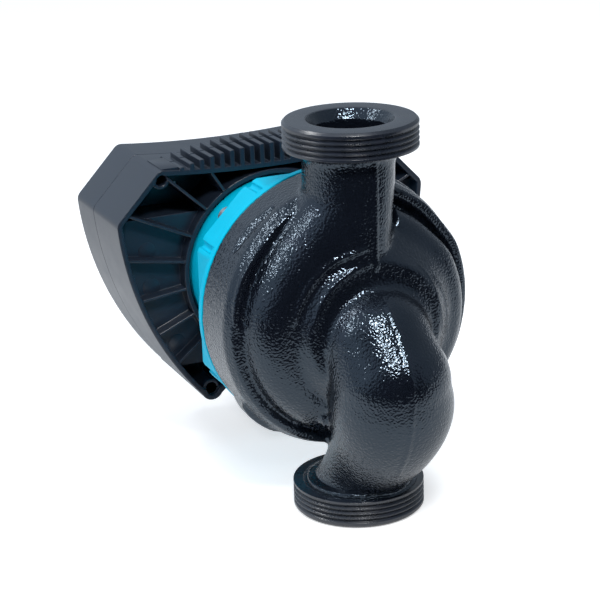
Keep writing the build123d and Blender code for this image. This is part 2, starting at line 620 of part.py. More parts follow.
def bearing_plate():
    """Dished steel plate between the impeller and the rotor, with the bearing's hub."""
    dish, low, t = IMPELLER_R - PLATE_DISH_SET, REGISTER_Y - PLATE_DISH_DEPTH, PLATE_T
    hub = BEARING_R + PLATE_HUB_T
    return about_y([
        (BEARING_R, low), (dish, low), (dish + PLATE_FLARE, REGISTER_Y), (REGISTER_R, REGISTER_Y),
        (REGISTER_R, REGISTER_Y + t), (dish + PLATE_FLARE - t / 2, REGISTER_Y + t),
        (dish - PLATE_BEND, low + t), (hub, low + t), (hub, FRONT_BEARING[1]),
        (BEARING_R, FRONT_BEARING[1]),
    ])


def can_seal():
    y0 = REGISTER_Y + PLATE_T
    return tube(REGISTER_R, REGISTER_R - SEAL_W, y0, y0 + SEAL_T)


def rotor_can():
    """Cup that keeps the stator dry. Its flange is clamped between casting and motor."""
    flange_y = REGISTER_Y + PLATE_T + SEAL_T
    outer, pocket = CAN_IN_R + CAN_WALL, BEARING_R + CAN_END_T
    end = CAN_END_Y + CAN_END_T
    tip = REAR_BEARING[1] + CAN_TIP_GAP
    return about_y([
        (CAN_IN_R, flange_y), (REGISTER_R, flange_y), (REGISTER_R, RIM_Y1), (outer, RIM_Y1),
        (outer, end), (pocket, end), (pocket, tip + CAN_END_T), (0, tip + CAN_END_T), (0, tip),
        (BEARING_R, tip), (BEARING_R, CAN_END_Y), (CAN_IN_R, CAN_END_Y),
    ])


# ----------------------------------------------------------------------- stator
def tooth_angles():
    return [90 + 180 / TEETH + angle for angle in all_round(TEETH)]


def stator_bore():
    return CAN_IN_R + CAN_WALL + STATOR_GAP


def spoke(width, r0, r1, y0, y1):
    """Bar along a radius, on the +X side of the axis."""
    return block(r0, r1, y0, y1, -width / 2, width / 2)


def stator_core():
    bore, yoke = stator_bore(), STATOR_R - STATOR_YOKE
    ring = tube(STATOR_R, yoke, ROTOR_Y0, ROTOR_Y1)
    tip_w = 2 * pi * bore / TEETH - TOOTH_TIP
    tooth = spoke(TOOTH_W, bore - TOOTH_LAP, yoke + TOOTH_LAP, ROTOR_Y0, ROTOR_Y1)
    tooth = tooth + spoke(tip_w, bore - TOOTH_LAP, bore + TOOTH_TIP, ROTOR_Y0, ROTOR_Y1)
    return union([ring, *ring_of(tooth, tooth_angles())]) - rod(bore, ROTOR_Y0, ROTOR_Y1)


def coil():
    inner_w = TOOTH_W + FIT
    r0, r1 = stator_bore() + TOOTH_TIP + COIL_GAP, STATOR_R - STATOR_YOKE - COIL_GAP
    y0, y1 = ROTOR_Y0 - INSULATOR_T, ROTOR_Y1 + INSULATOR_T
    wound = spoke(inner_w + 2 * COIL_W, r0, r1, y0 - COIL_T, y1 + COIL_T)
    return wound - spoke(inner_w, r0, r1, y0, y1)


def stator_coils():
    return group(ring_of(coil(), tooth_angles()))


def stator_insulator(y0):
    """Moulded spider between one end of the core and the heads of the coils."""
    yoke = STATOR_R - STATOR_YOKE
    ring = tube(STATOR_R - TOOTH_LAP, yoke, y0, y0 + INSULATOR_T)
    arm = spoke(TOOTH_W, stator_bore() + TOOTH_LAP, yoke + TOOTH_LAP, y0, y0 + INSULATOR_T)
    return union([ring, *ring_of(arm, tooth_angles())])


def lead_angles():
    return [90 + LEAD_STEP * k for k in (-1, 0, 1)]


def motor_leads():
    """Three pins from the stator's rear spider up to the power board."""
    foot, tip = ROTOR_Y1 + INSULATOR_T, POWER_BOARD_Y + BOARD_T + LEAD_PROUD
    return group([rod(LEAD_R, foot, tip, *polar(LEAD_ORBIT, angle)) for angle in lead_angles()])


def lead_holes(radius, y0, y1):
    return union([rod(radius, y0, y1, *polar(LEAD_ORBIT, angle)) for angle in lead_angles()])


# ---------------------------------------------------------------- motor housing
def housing_square():
    """Outline behind the flange: a round with four flats, four facets and eight notches."""
    flat, facet = 2 * (RIM_R - HOUSING_FLAT_SET), 2 * (RIM_R - HOUSING_FACET_SET)
    flats = Rectangle(flat, flat)
    facets = Rot(0, 0, 45) * Rectangle(facet, facet)
    outline = Circle(RIM_R) & flats & facets
    for corner in CORNERS:
        for side in (-HOUSING_NOTCH_DEG, HOUSING_NOTCH_DEG):
            notch = Pos(*polar(RIM_R, corner + side)) * Circle(HOUSING_NOTCH_R)
            outline = outline - notch
    return outline


def motor_housing():
    flange_y = RIM_Y1 + HOUSING_FLANGE_T
    body = rod(RIM_R, RIM_Y1, flange_y) + prism(housing_square(), flange_y, HOUSING_SQUARE_Y)
    body = body + rod(HOUSING_R, HOUSING_SQUARE_Y, HOUSING_END_Y)
    cavity_end = HOUSING_END_Y - HOUSING_END_T
    body = body - rod(STATOR_R, RIM_Y1, cavity_end)
    pad_y = cavity_end - SHELL_SCREW_DEPTH + HOUSING_END_T
    for angle in CORNERS:
        x, z = polar(SHELL_SCREW_ORBIT, angle)
        pad = rod(STATOR_R, pad_y, cavity_end) & rod(SHELL_PAD_R, pad_y, cavity_end, x, z)
        body = body + pad
    for angle in CORNERS:
        shell_screw, flange_screw = polar(SHELL_SCREW_ORBIT, angle), polar(FLANGE_SCREW_ORBIT, angle)
        tapped = rod(SHELL_SCREW_R + TAP_FIT, pad_y, HOUSING_END_Y, *shell_screw)
        hole = rod(FLANGE_SCREW_R + FIT, RIM_Y1, HOUSING_SQUARE_Y, *flange_screw)
        body = body - tapped - hole
    return body - lead_holes(LEAD_HOLE_R, cavity_end - LAP, HOUSING_END_Y + LAP)


def flange_screws():
    screws = []
    for angle in CORNERS:
        x, z = polar(FLANGE_SCREW_ORBIT, angle)
        screws.append(socket_screw(
            x, z, HOUSING_SQUARE_Y, RIM_Y1 - FLANGE_SCREW_DEPTH, FLANGE_SCREW_R,
            FLANGE_HEAD_R, FLANGE_HEAD_H, (FLANGE_SOCKET_R, FLANGE_SOCKET_H)))
    return group(screws)


def shell_screws():
    """Hold the box on the end of the motor, from inside the box."""
    seat = HOUSING_END_Y + FLOOR_T
    end = HOUSING_END_Y - SHELL_SCREW_DEPTH + SHELL_SCREW_TIP_GAP
    screws = []
    for angle in CORNERS:
        x, z = polar(SHELL_SCREW_ORBIT, angle)
        screws.append(socket_screw(
            x, z, seat, end, SHELL_SCREW_R, SHELL_SCREW_HEAD_R, SHELL_SCREW_HEAD_H,
            (SHELL_SCREW_R, SHELL_SCREW_HEAD_H / 2)))
    return group(screws)


# ------------------------------------------------------------- electronics box
def box_outline(inset=0.0, lobes=True):
    """Outline of the box, seen along the motor axis, drawn in by inset."""
    edge = Polyline((TOP_X, TOP_Z), (SIDE_X, SIDE_Z))
    right = ThreePointArc((SIDE_X, SIDE_Z), (WAIST_X, WAIST_Z), (FOOT_X, FOOT_Z))
    under = Polyline((FOOT_X, FOOT_Z), (LOBE_IN_X, LOBE_IN_Z), (ARCH_X, ARCH_Z))
    arch = ThreePointArc((ARCH_X, ARCH_Z), (0, ARCH_MID_Z), (-ARCH_X, ARCH_Z))
    top = ThreePointArc((-TOP_X, TOP_Z), (0, TOP_Z - TOP_DIP), (TOP_X, TOP_Z))
    flip = [mirror(line, about=Plane.YZ) for line in (edge, right, under)]
    outline = make_face([edge, right, under, arch, top, *flip])
    if inset:
        outline = offset(outline, -inset, kind=Kind.TANGENT)
    if lobes:
        for side in (-1, 1):
            lobe = Circle(LOBE_R - inset)
            outline = outline + Pos(side * SCREW_FOOT_X, SCREW_FOOT_Z) * lobe
    return outline


def box_screw_places():
    return [
        (side * x, z) for side in (-1, 1)
        for x, z in ((SCREW_HEAD_X, SCREW_HEAD_Z), (SCREW_FOOT_X, SCREW_FOOT_Z))
    ]


def top_z(x):
    """Height of the box's top edge at x, on the arc that dips in the middle."""
    radius = (TOP_X**2 + TOP_DIP**2) / (2 * TOP_DIP)
    return TOP_Z - TOP_DIP + radius - (radius**2 - x**2) ** 0.5


def fins():
    """Cooling fins that stand on the top, along the motor axis."""
    y0, y1 = BOX_Y0, BOX_Y0 + FIN_L
    half = FIN_COUNT // 2
    shapes = []
    for k in range(-half, half + 1):
        x = k * FIN_PITCH
        crest = TOP_Z - TOP_DIP + FIN_EDGE + (FIN_CREST - FIN_EDGE) * (1 - (k / half) ** 2)
        fin = block(x - FIN_T / 2, x + FIN_T / 2, y0, y1, top_z(x) - BOX_WALL / 2, crest)
        middle = (y0 + y1) / 2
        cut = block(x - FIN_T, x + FIN_T, middle - FIN_SPLIT_W / 2, middle + FIN_SPLIT_W / 2,
                    crest - FIN_SPLIT_DEPTH, crest + LAP)
        shapes.append(fin - cut)
    return shapes


def pocket_floor(outline):
    """Wall between the open back and the electronics: shallow in the middle, deep at the ends."""
    low, high = SHALLOW_Z0, SHALLOW_Z1
    deep_y, t = DEEP_FLOOR_Y, FLOOR_T
    wide = 2 * SIDE_X
    shallow = block(-wide, wide, FLOOR_Y, FLOOR_Y + t, low, high)
    top = block(-wide, wide, deep_y, deep_y + t, high, 2 * TOP_Z)
    bottom = block(-wide, wide, deep_y, deep_y + t, 2 * FOOT_Z, low)
    steps = [block(-wide, wide, FLOOR_Y, deep_y + t, z - t / 2, z + t / 2) for z in (low, high)]
    walls = union([shallow, top, bottom, *steps]) & prism(outline, FLOOR_Y, deep_y + t)
    return walls - rod(COLLAR_OUT - COLLAR_WALL / 2, FLOOR_Y - LAP, deep_y + t + LAP)


def ribs(outline):
    collar = COLLAR_R + COLLAR_WALL / 2
    rib = spoke(RIB_T, collar, 2 * SIDE_X, BOX_Y0 + RIB_SET, DEEP_FLOOR_Y + FLOOR_T / 2)
    angles = [*RIB_ANGLES, *[180 - angle for angle in RIB_ANGLES]]
    within = prism(outline, BOX_Y0, BOX_PART)
    wide = 2 * SIDE_X
    inside = block(-wide, wide, FLOOR_Y + FLOOR_T, BOX_PART, SHALLOW_Z0, SHALLOW_Z1)
    return [(shape & within) - inside for shape in ring_of(rib, angles)]


def gasket_groove():
    return box_outline((BOX_WALL - GASKET_W) / 2) - box_outline((BOX_WALL + GASKET_W) / 2)


def power_posts():
    """Places of the power board's posts, with the floor that each stands on."""
    places = []
    for x, z in POWER_POSTS:
        floor = DEEP_FLOOR_Y if z > SHALLOW_Z1 else FLOOR_Y
        places += [(side * x, z, floor + FLOOR_T / 2) for side in (-1, 1)]
    return places


def rear_shell():
    outline, inner = box_outline(), box_outline(BOX_WALL)
    end = HOUSING_END_Y + FLOOR_T
    shell = prism(outline - inner, BOX_Y0, BOX_PART)
    collar = tube(COLLAR_OUT, COLLAR_R, BOX_Y0 + COLLAR_SET, end)
    disc = rod(COLLAR_R + COLLAR_WALL / 2, HOUSING_END_Y, end)
    body = union([shell, collar, disc, pocket_floor(outline), *ribs(outline), *fins()])
    for x, z in box_screw_places():
        boss = rod(BOSS_R, BOX_Y0 + BOSS_SET, BOX_PART, x, z) & prism(outline, BOX_Y0, BOX_PART)
        body = body + boss
    for x, z, y in power_posts():
        body = body + rod(POST_R, y, POWER_BOARD_Y, x, z)
    for x, z, _ in power_posts():
        depth = BOARD_SCREW_DEPTH
        body = body - rod(BOARD_SCREW_R + TAP_FIT, POWER_BOARD_Y - depth, POWER_BOARD_Y, x, z)
    for x, z in box_screw_places():
        body = body - rod(BOSS_HOLE_R, BOX_Y0, BOX_SCREW_SEAT, x, z)
        body = body - rod(BOX_SCREW_R + FIT, BOX_SCREW_SEAT, BOX_PART, x, z)
    for angle in CORNERS:
        x, z = polar(SHELL_SCREW_ORBIT, angle)
        body = body - rod(SHELL_SCREW_R + FIT, HOUSING_END_Y, end, x, z)
    body = body - lead_holes(LEAD_HOLE_R, HOUSING_END_Y, end)
    return body - prism(gasket_groove(), BOX_PART - GASKET_T, BOX_PART)


def cover_gasket():
    return prism(gasket_groove(), BOX_PART - GASKET_T, BOX_PART)


def box_screws():
    """Come from the open back, through the shell's bosses, into the front cover."""
    screws = []
    for x, z in box_screw_places():
        seat = BOX_SCREW_SEAT
        head = rod(BOX_SCREW_HEAD_R, seat - BOX_SCREW_HEAD_H, seat, x, z)
        front = seat - BOX_SCREW_HEAD_H
        slot = plate(CROSS_W, CROSS_T, front, front + CROSS_DEPTH, x, z)
        cross = plate(CROSS_T, CROSS_W, front, front + CROSS_DEPTH, x, z)
        shank = rod(BOX_SCREW_R, seat, BOX_PART + BOX_SCREW_BITE, x, z)
        screws.append(head - slot - cross + shank)
    return group(screws)


def button_places():
    """X of the three buttons; they share one height."""
    return [BUTTON_PITCH * k for k in (-1, 0, 1)], DISPLAY_Z - BUTTON_DROP


def window_z():
    return DISPLAY_Z + SEGMENT_RISE


def display_posts():
    x, z = DISPLAY_BOARD[0] / 2 - DISPLAY_POST_R, DISPLAY_BOARD[1] / 2 - DISPLAY_POST_R
    return [(sx * x, DISPLAY_Z + sz * z) for sx in (-1, 1) for sz in (-1, 1)]


def gland_wall():
    """Height of the outside and the inside of the flat pad that carries the gland."""
    return ARCH_MID_Z - GLAND_PAD, ARCH_MID_Z + BOX_WALL


def front_cover():
    outline, inner = box_outline(), box_outline(BOX_WALL)
    skin = BOX_Y1 - BOX_WALL
    body = prism(outline, BOX_PART, BOX_Y1)
    rim = body.faces().sort_by(Axis.Y)[-1].edges()
    body = chamfer(rim, EDGE_R) - prism(inner, BOX_PART, skin)
    low, high = gland_wall()
    half = GLAND_R + GLAND_PAD_EDGE
    pad = block(-half, half, GLAND_Y - GLAND_R, GLAND_Y + GLAND_R, low, high)
    body = body + pad
    for x, z in box_screw_places():
        body = body + (rod(BOSS_R, BOX_PART, skin, x, z) & prism(outline, BOX_PART, skin))
    posts = [rod(DISPLAY_POST_R, DISPLAY_BOARD_Y + BOARD_T, skin, x, z) for x, z in display_posts()]
    body = union([body, *posts])
    for x, z in box_screw_places():
        body = body - rod(BOX_SCREW_R + TAP_FIT, BOX_PART, BOX_PART + BOX_SCREW_BITE + LAP, x, z)
    for x, z in display_posts():
        start = DISPLAY_BOARD_Y + BOARD_T
        body = body - rod(BOARD_SCREW_R + TAP_FIT, start, start + DISPLAY_SCREW_DEPTH, x, z)
    width, height, thick = WINDOW
    body = body - plate(width, height, BOX_Y1 - thick, BOX_Y1, 0, window_z())
    open_w, open_h = width - 2 * WINDOW_LEDGE, height - 2 * WINDOW_LEDGE
    body = body - plate(open_w, open_h, skin, BOX_Y1, 0, window_z())
    button_x, button_z = button_places()
    for x in button_x:
        body = body - rod(BUTTON_R + BUTTON_GAP, skin, BOX_Y1, x, button_z)
    body = body - rod(LAMP_R, skin, BOX_Y1, LAMP_X, window_z())
    body = body - plate(LABEL[0], LABEL[1], BOX_Y1 - LABEL[2], BOX_Y1, 0, LABEL_Z)
    return body - pillar(GLAND_THREAD_R + TAP_FIT, low - LAP, high + LAP, 0, GLAND_Y)


# ---------------------------------------------------------------------- boards
def power_board():
    y0, y1 = POWER_BOARD_Y, POWER_BOARD_Y + BOARD_T
    clip = block(-SIDE_X, SIDE_X, y0, y1, POWER_BOARD_Z0, POWER_BOARD_Z1)
    board = prism(box_outline(BOX_WALL + POWER_BOARD_INSET, lobes=False), y0, y1) & clip
    for x, z, _ in power_posts():
        board = board - rod(BOARD_SCREW_R + FIT, y0, y1, x, z)
    return board - lead_holes(LEAD_R + TAP_FIT, y0, y1)


def pan_screw(x, z, seat, out):
    """Small screw. out is +1 if its head stands on the +Y side of the seat, else -1."""
    head_end = seat + out * BOARD_SCREW_HEAD_H
    tip = seat - out * (BOARD_T + BOARD_SCREW_DEPTH - BOARD_SCREW_TIP_GAP)
    head = rod(BOARD_SCREW_HEAD_R, min(seat, head_end), max(seat, head_end), x, z)
    slot_deep = head_end - out * BOARD_SCREW_HEAD_H / 2
    slot = plate(2 * BOARD_SCREW_HEAD_R, BOARD_SLOT_W,
                 min(slot_deep, head_end), max(slot_deep, head_end), x, z)
    return head - slot + rod(BOARD_SCREW_R, min(seat, tip), max(seat, tip), x, z)


def power_board_screws():
    return group([pan_screw(x, z, POWER_BOARD_Y + BOARD_T, 1) for x, z, _ in power_posts()])


def bus_capacitors():
    return group([
        rod(CAPACITOR_R, POWER_BOARD_Y - CAPACITOR_L, POWER_BOARD_Y, CAPACITOR_X, z)
        for z in CAPACITOR_Z])


def emc_choke():
    """Ring core under its wound wire."""
    y0, y1 = POWER_BOARD_Y - CHOKE_L, POWER_BOARD_Y - CHOKE_WIRE_R
    return tube(CHOKE_R, CHOKE_HOLE_R, y0, y1, CHOKE_X, CHOKE_Z)


def choke_winding():
    """One separate turn after another, round the ring core."""
    y0, y1 = POWER_BOARD_Y - CHOKE_L, POWER_BOARD_Y - CHOKE_WIRE_R
    wire = 2 * CHOKE_WIRE_R
    low, high = CHOKE_HOLE_R - CHOKE_SINK, CHOKE_R + wire
    turn = spoke(wire, low, high, y0 - wire, y1 + CHOKE_WIRE_R)
    turn = turn - tube(CHOKE_R, CHOKE_HOLE_R, y0, y1)
    place = Pos(CHOKE_X, 0, CHOKE_Z)
    return group([place * shape for shape in ring_of(turn, all_round(CHOKE_TURNS))])


def heat_spreader():
    y0 = DEEP_FLOOR_Y + FLOOR_T
    body = plate(SPREADER[0], SPREADER[1], y0, y0 + SPREADER[2], 0, SPREADER_Z)
    return body - lead_holes(LEAD_HOLE_R, y0, y0 + SPREADER[2])


def power_module():
    y0 = DEEP_FLOOR_Y + FLOOR_T + SPREADER[2]
    body = plate(MODULE[0], MODULE[1], y0, POWER_BOARD_Y, 0, SPREADER_Z)
    return body - lead_holes(LEAD_HOLE_R, y0, POWER_BOARD_Y)


def terminal_block():
    width, height, deep = TERMINAL
    y0 = POWER_BOARD_Y + BOARD_T
    body = plate(width, height, y0, y0 + deep, 0, TERMINAL_Z)
    pitch = width / TERMINAL_WAYS
    for k in range(TERMINAL_WAYS):
        x = (k - (TERMINAL_WAYS - 1) / 2) * pitch
        body = body - pillar(TERMINAL_HOLE_R, TERMINAL_Z - height / 2, TERMINAL_Z, x, y0 + deep / 3)
        body = body - rod(TERMINAL_HOLE_R, y0 + deep / 2, y0 + deep, x, TERMINAL_Z)
    return body


def terminal_screws():
    width, height, deep = TERMINAL
    y0 = POWER_BOARD_Y + BOARD_T + deep / 2
    pitch = width / TERMINAL_WAYS
    screws = []
    for k in range(TERMINAL_WAYS):
        x = (k - (TERMINAL_WAYS - 1) / 2) * pitch
        y1 = y0 + deep / 3
        slot = plate(2 * TERMINAL_HOLE_R, TERMINAL_SLOT_W, y1 - TERMINAL_SLOT_DEPTH, y1, x, TERMINAL_Z)
        screws.append(rod(TERMINAL_HOLE_R, y0, y1, x, TERMINAL_Z) - slot)
    return group(screws)


def display_board():
    board = plate(*DISPLAY_BOARD, DISPLAY_BOARD_Y, DISPLAY_BOARD_Y + BOARD_T, 0, DISPLAY_Z)
    for x, z in display_posts():
        board = board - rod(BOARD_SCREW_R + FIT, DISPLAY_BOARD_Y, DISPLAY_BOARD_Y + BOARD_T, x, z)
    return board


def display_screws():
    return group([pan_screw(x, z, DISPLAY_BOARD_Y, -1) for x, z in display_posts()])


def segment_display():
    y0 = DISPLAY_BOARD_Y + BOARD_T
    return plate(SEGMENT[0], SEGMENT[1], y0, y0 + SEGMENT[2], 0, window_z())


def tact_switches():
    y0 = DISPLAY_BOARD_Y + BOARD_T
    button_x, z = button_places()
    body_y, plunger_y = y0 + SWITCH_H, button_back() - BUTTON_TRAVEL - FIT
    return group([
        plate(SWITCH_SIZE, SWITCH_SIZE, y0, body_y, x, z) + rod(PLUNGER_R, body_y, plunger_y, x, z)
        for x in button_x])


def status_lamp():
    """Clear pin that carries the light of the status lamp to the front face."""
    return rod(LAMP_R, DISPLAY_BOARD_Y + BOARD_T, BOX_Y1, LAMP_X, window_z())


def display_window():
    width, height, thick = WINDOW
    return plate(width, height, BOX_Y1 - thick, BOX_Y1, 0, window_z())


def label_plate():
    return plate(LABEL[0], LABEL[1], BOX_Y1 - LABEL[2], BOX_Y1, 0, LABEL_Z)


def button_back():
    return BOX_Y1 - BOX_WALL - FIT - BUTTON_FLANGE_T


def push_button(x):
    """Round cap with a flange behind the cover, which stops it from falling out."""
    _, z = button_places()
    back = button_back()
    cap = rod(BUTTON_R, back, BOX_Y1 + BUTTON_PROUD, x, z)
    cap = chamfer(cap.faces().sort_by(Axis.Y)[-1].edges(), BUTTON_BEVEL)
    return cap + rod(BUTTON_R + BUTTON_FLANGE, back, back + BUTTON_FLANGE_T, x, z)


# ------------------------------------------------------------------ cable entry
def gland_prism(across_flats, z0, z1):
    return extrude(Plane(origin=(0, GLAND_Y, z0)) * hexagon(across_flats), amount=z1 - z0)


def gland_body():
    low, high = gland_wall()
    foot = low - GLAND_COLLAR_H
    body = pillar(GLAND_R, foot, low, 0, GLAND_Y)
    top = high + GLAND_LOCK_H + GLAND_THREAD_PROUD
    body = body + pillar(GLAND_THREAD_R, foot - GLAND_SEAL_H, top, 0, GLAND_Y)
    body = body - pillar(GLAND_BORE_R, foot - GLAND_SEAL_H, top + LAP, 0, GLAND_Y)
    return body - pillar(GLAND_SEAL_R, foot - GLAND_SEAL_H, foot, 0, GLAND_Y)


def gland_seal():
    foot = gland_wall()[0] - GLAND_COLLAR_H
    seal = pillar(GLAND_SEAL_R, foot - GLAND_SEAL_H, foot, 0, GLAND_Y)
    return seal - pillar(GLAND_BORE_R - FIT, foot - GLAND_SEAL_H, foot, 0, GLAND_Y)


def gland_nut():
    """Cap nut that squeezes the seal onto the cable."""
    foot = gland_wall()[0] - GLAND_COLLAR_H
    end = foot - GLAND_NUT_H
    nut = gland_prism(GLAND_NUT_AF, end, foot)
    low_r, high_r, height, drop = GLAND_DOME
    nut = nut & pillar(GLAND_NUT_R, end, foot, 0, GLAND_Y)
    nut = nut & (Pos(0, GLAND_Y, foot - drop) * Cone(low_r, high_r, height))
    nut = nut - pillar(GLAND_THREAD_R, foot - GLAND_SEAL_H, foot, 0, GLAND_Y)
    return nut - pillar(GLAND_BORE_R, end, foot, 0, GLAND_Y)


def gland_locknut():
    high = gland_wall()[1]
    nut = gland_prism(GLAND_LOCK_AF, high, high + GLAND_LOCK_H)
    return nut - pillar(GLAND_THREAD_R, high, high + GLAND_LOCK_H, 0, GLAND_Y)


# ---------------------------------------------------------------------- writing
def write(name, shape):
    lifted = Pos(0, 0, PORT_Z) * shape
    export_step(lifted, os.path.join("parts", name + ".step"))
    print(name, len(lifted.solids()), "solids")


PARTS = {
    "volute_casting": volute_casting, "wear_ring": wear_ring, "impeller_shroud": impeller_shroud,
    "impeller": impeller, "impeller_clip": impeller_clip, "rotor_shaft": rotor_shaft,
    "thrust_washer": thrust_washer, "rotor_core": rotor_core, "rotor_magnets": rotor_magnets,
    "rotor_sleeve": rotor_sleeve, "front_bearing": front_bearing, "rear_bearing": rear_bearing,
    "bearing_plate": bearing_plate, "can_seal": can_seal, "rotor_can": rotor_can,
    "stator_core": stator_core, "stator_coils": stator_coils,
    "stator_insulator_front": lambda: stator_insulator(ROTOR_Y0 - INSULATOR_T),
    "stator_insulator_rear": lambda: stator_insulator(ROTOR_Y1),
    "motor_leads": motor_leads, "motor_housing": motor_housing, "flange_screws": flange_screws,
    "rear_shell": rear_shell, "shell_screws": shell_screws, "cover_gasket": cover_gasket,
    "front_cover": front_cover, "box_screws": box_screws, "power_board": power_board,
    "power_board_screws": power_board_screws, "bus_capacitors": bus_capacitors,
    "emc_choke": emc_choke, "choke_winding": choke_winding, "heat_spreader": heat_spreader,
    "power_module": power_module, "terminal_block": terminal_block,
    "terminal_screws": terminal_screws, "display_board": display_board,
    "display_screws": display_screws, "segment_display": segment_display,
    "tact_switches": tact_switches, "status_lamp": status_lamp, "display_window": display_window,
    "label_plate": label_plate,
    "button_down": lambda: push_button(button_places()[0][0]),
    "button_mode": lambda: push_button(button_places()[0][1]),
    "button_up": lambda: push_button(button_places()[0][2]),
    "gland_body": gland_body, "gland_seal": gland_seal, "gland_nut": gland_nut,
    "gland_locknut": gland_locknut,
}

os.makedirs("parts", exist_ok=True)
for node, make in PARTS.items():
    write(node, make())
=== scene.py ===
# %% [markdown]
# # A circulator pump
# A pump that moves heating water round a house. Its parts are a black cast casing with
# two threaded ports, a turquoise motor, and a plastic box that holds the electronics.
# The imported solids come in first. They are the frame: nothing in it is moved, and every
# piece that is modelled here takes its place from them. The motor's axis runs along Y and
# the pipe's axis along Z, and the two cross at the height AXIS_Z.

# %% Load the frame
import json
import math

import bmesh
import bpy
import numpy as np
from mathutils import Matrix, Vector

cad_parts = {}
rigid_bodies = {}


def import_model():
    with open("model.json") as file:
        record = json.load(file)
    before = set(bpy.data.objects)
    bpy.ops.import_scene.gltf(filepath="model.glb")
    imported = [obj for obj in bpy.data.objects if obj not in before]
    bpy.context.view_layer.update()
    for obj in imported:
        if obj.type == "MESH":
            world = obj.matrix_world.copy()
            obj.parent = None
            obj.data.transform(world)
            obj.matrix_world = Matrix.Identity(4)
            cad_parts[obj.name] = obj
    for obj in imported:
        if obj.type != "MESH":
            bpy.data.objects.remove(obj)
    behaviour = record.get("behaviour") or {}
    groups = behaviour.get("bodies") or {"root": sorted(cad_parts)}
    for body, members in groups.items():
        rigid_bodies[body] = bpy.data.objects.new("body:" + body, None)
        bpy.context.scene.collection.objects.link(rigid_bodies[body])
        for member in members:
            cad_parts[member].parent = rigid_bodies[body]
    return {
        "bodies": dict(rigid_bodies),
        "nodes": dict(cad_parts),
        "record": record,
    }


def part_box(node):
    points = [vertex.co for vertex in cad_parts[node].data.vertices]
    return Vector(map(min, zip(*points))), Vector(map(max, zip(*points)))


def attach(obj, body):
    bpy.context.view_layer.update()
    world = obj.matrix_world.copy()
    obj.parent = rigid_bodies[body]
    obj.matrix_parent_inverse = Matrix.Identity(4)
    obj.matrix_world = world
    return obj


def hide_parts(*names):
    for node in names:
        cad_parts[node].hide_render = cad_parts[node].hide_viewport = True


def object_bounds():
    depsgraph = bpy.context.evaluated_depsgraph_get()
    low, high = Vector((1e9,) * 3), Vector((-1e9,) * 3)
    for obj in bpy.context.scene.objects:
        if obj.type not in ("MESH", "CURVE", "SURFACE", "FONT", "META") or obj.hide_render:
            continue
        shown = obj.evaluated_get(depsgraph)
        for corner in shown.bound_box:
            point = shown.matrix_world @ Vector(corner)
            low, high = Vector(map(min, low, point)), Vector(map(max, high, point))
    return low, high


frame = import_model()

NODES = frame["nodes"]
CAD_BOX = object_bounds()
MM = 0.001
shaft_low, shaft_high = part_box("rotor_shaft")
AXIS_Z = (shaft_low.z + shaft_high.z) / 2
print(len(NODES), "nodes; motor axis at height", round(AXIS_Z, 4))

# %% [markdown]
# ## The camera
# The pump is seen from the front left and from a little above. A long lens keeps the
# perspective gentle. The camera is turned by three axes of its own, right, up and back,
# which is easier to read than three angles, and it leans by two degrees.

# %% Camera
CAMERA_AT = Vector((-0.3444, -0.7283, 0.3722))
AZIMUTH, ELEVATION, ROLL = (math.radians(angle) for angle in (-23.6, 18.8, -1.9))
LENS = 115.37

back = Vector((math.sin(AZIMUTH) * math.cos(ELEVATION),
               -math.cos(AZIMUTH) * math.cos(ELEVATION), math.sin(ELEVATION)))
level = Vector((math.cos(AZIMUTH), math.sin(AZIMUTH), 0))
above = back.cross(level)
right = level * math.cos(ROLL) + above * math.sin(ROLL)
up = above * math.cos(ROLL) - level * math.sin(ROLL)

camera = bpy.data.objects.new("camera", bpy.data.cameras.new("camera"))
bpy.context.scene.collection.objects.link(camera)
camera.data.lens = LENS
turn = Matrix((right, up, back)).transposed().to_4x4()
camera.matrix_world = Matrix.Translation(CAMERA_AT) @ turn
bpy.context.scene.camera = camera
bpy.context.scene.view_settings.view_transform = "Standard"
print("camera lens", LENS, "mm")

# %% [markdown]
# ## Small helpers for node trees
# A material is a little network of nodes. These helpers add a node, set its sockets and
# join it to another, so that each recipe below stays short. A socket's name is written
# with underscores, so From_Min=0.5 sets the socket From Min.

# %% Node helpers
def add(tree, kind, **values):
    """A new node. Values go to its sockets of that name, or else to the node itself."""
    node = tree.nodes.new("ShaderNode" + kind)
    for name, value in values.items():
        socket = node.inputs.get(name.replace("_", " "))
        if socket is None:
            setattr(node, name, value)
        else:
            socket.default_value = value
    return node


def join(tree, source, target, out=0, into=0):
    """Link an output to an input, each given by its name or its number."""
    tree.links.new(source.outputs[out], target.inputs[into])
    return target


print("helpers: add, join")

# %% [markdown]
# ## Sums and mixes
# Three things come up again and again: a sum on numbers, the length along a direction, and
# a mix of two shaders. Each gets a helper of its own, built from the two above.

# %% Helpers for sums and mixes
def compute(tree, operation, *values):
    """A Math node. Each value is a number, or a node and which of its outputs is meant."""
    node = add(tree, "Math", operation=operation)
    for into, value in enumerate(values):
        if isinstance(value, tuple):
            join(tree, value[0], node, value[1], into)
        else:
            node.inputs[into].default_value = value
    return node


def along(tree, place, out, direction):
    """How far a place, or a ray, points along a fixed direction."""
    node = add(tree, "VectorMath", operation="DOT_PRODUCT")
    node.inputs[1].default_value = direction
    return join(tree, place, node, out, 0)


def mixed(tree, share, out, first, second):
    """The first shader where the share is 0, and the second where it is 1."""
    node = add(tree, "MixShader")
    join(tree, share, node, out, 0)
    join(tree, first, node, 0, 1)
    return join(tree, second, node, 0, 2)


print("helpers: compute, along, mixed")

# %% [markdown]
# ## Paper for the floor
# A plain white floor carries the pump's own soft shadow. What the camera sees as white is
# a glow that the lamps have no part in, because more light on the pump would wash it out.
# Light Path tells which ray asks. Mirrorlike paint shows the floor too, but there it is
# dimmer, and it goes dark in front of the pump, where a camera and a dark room would be.

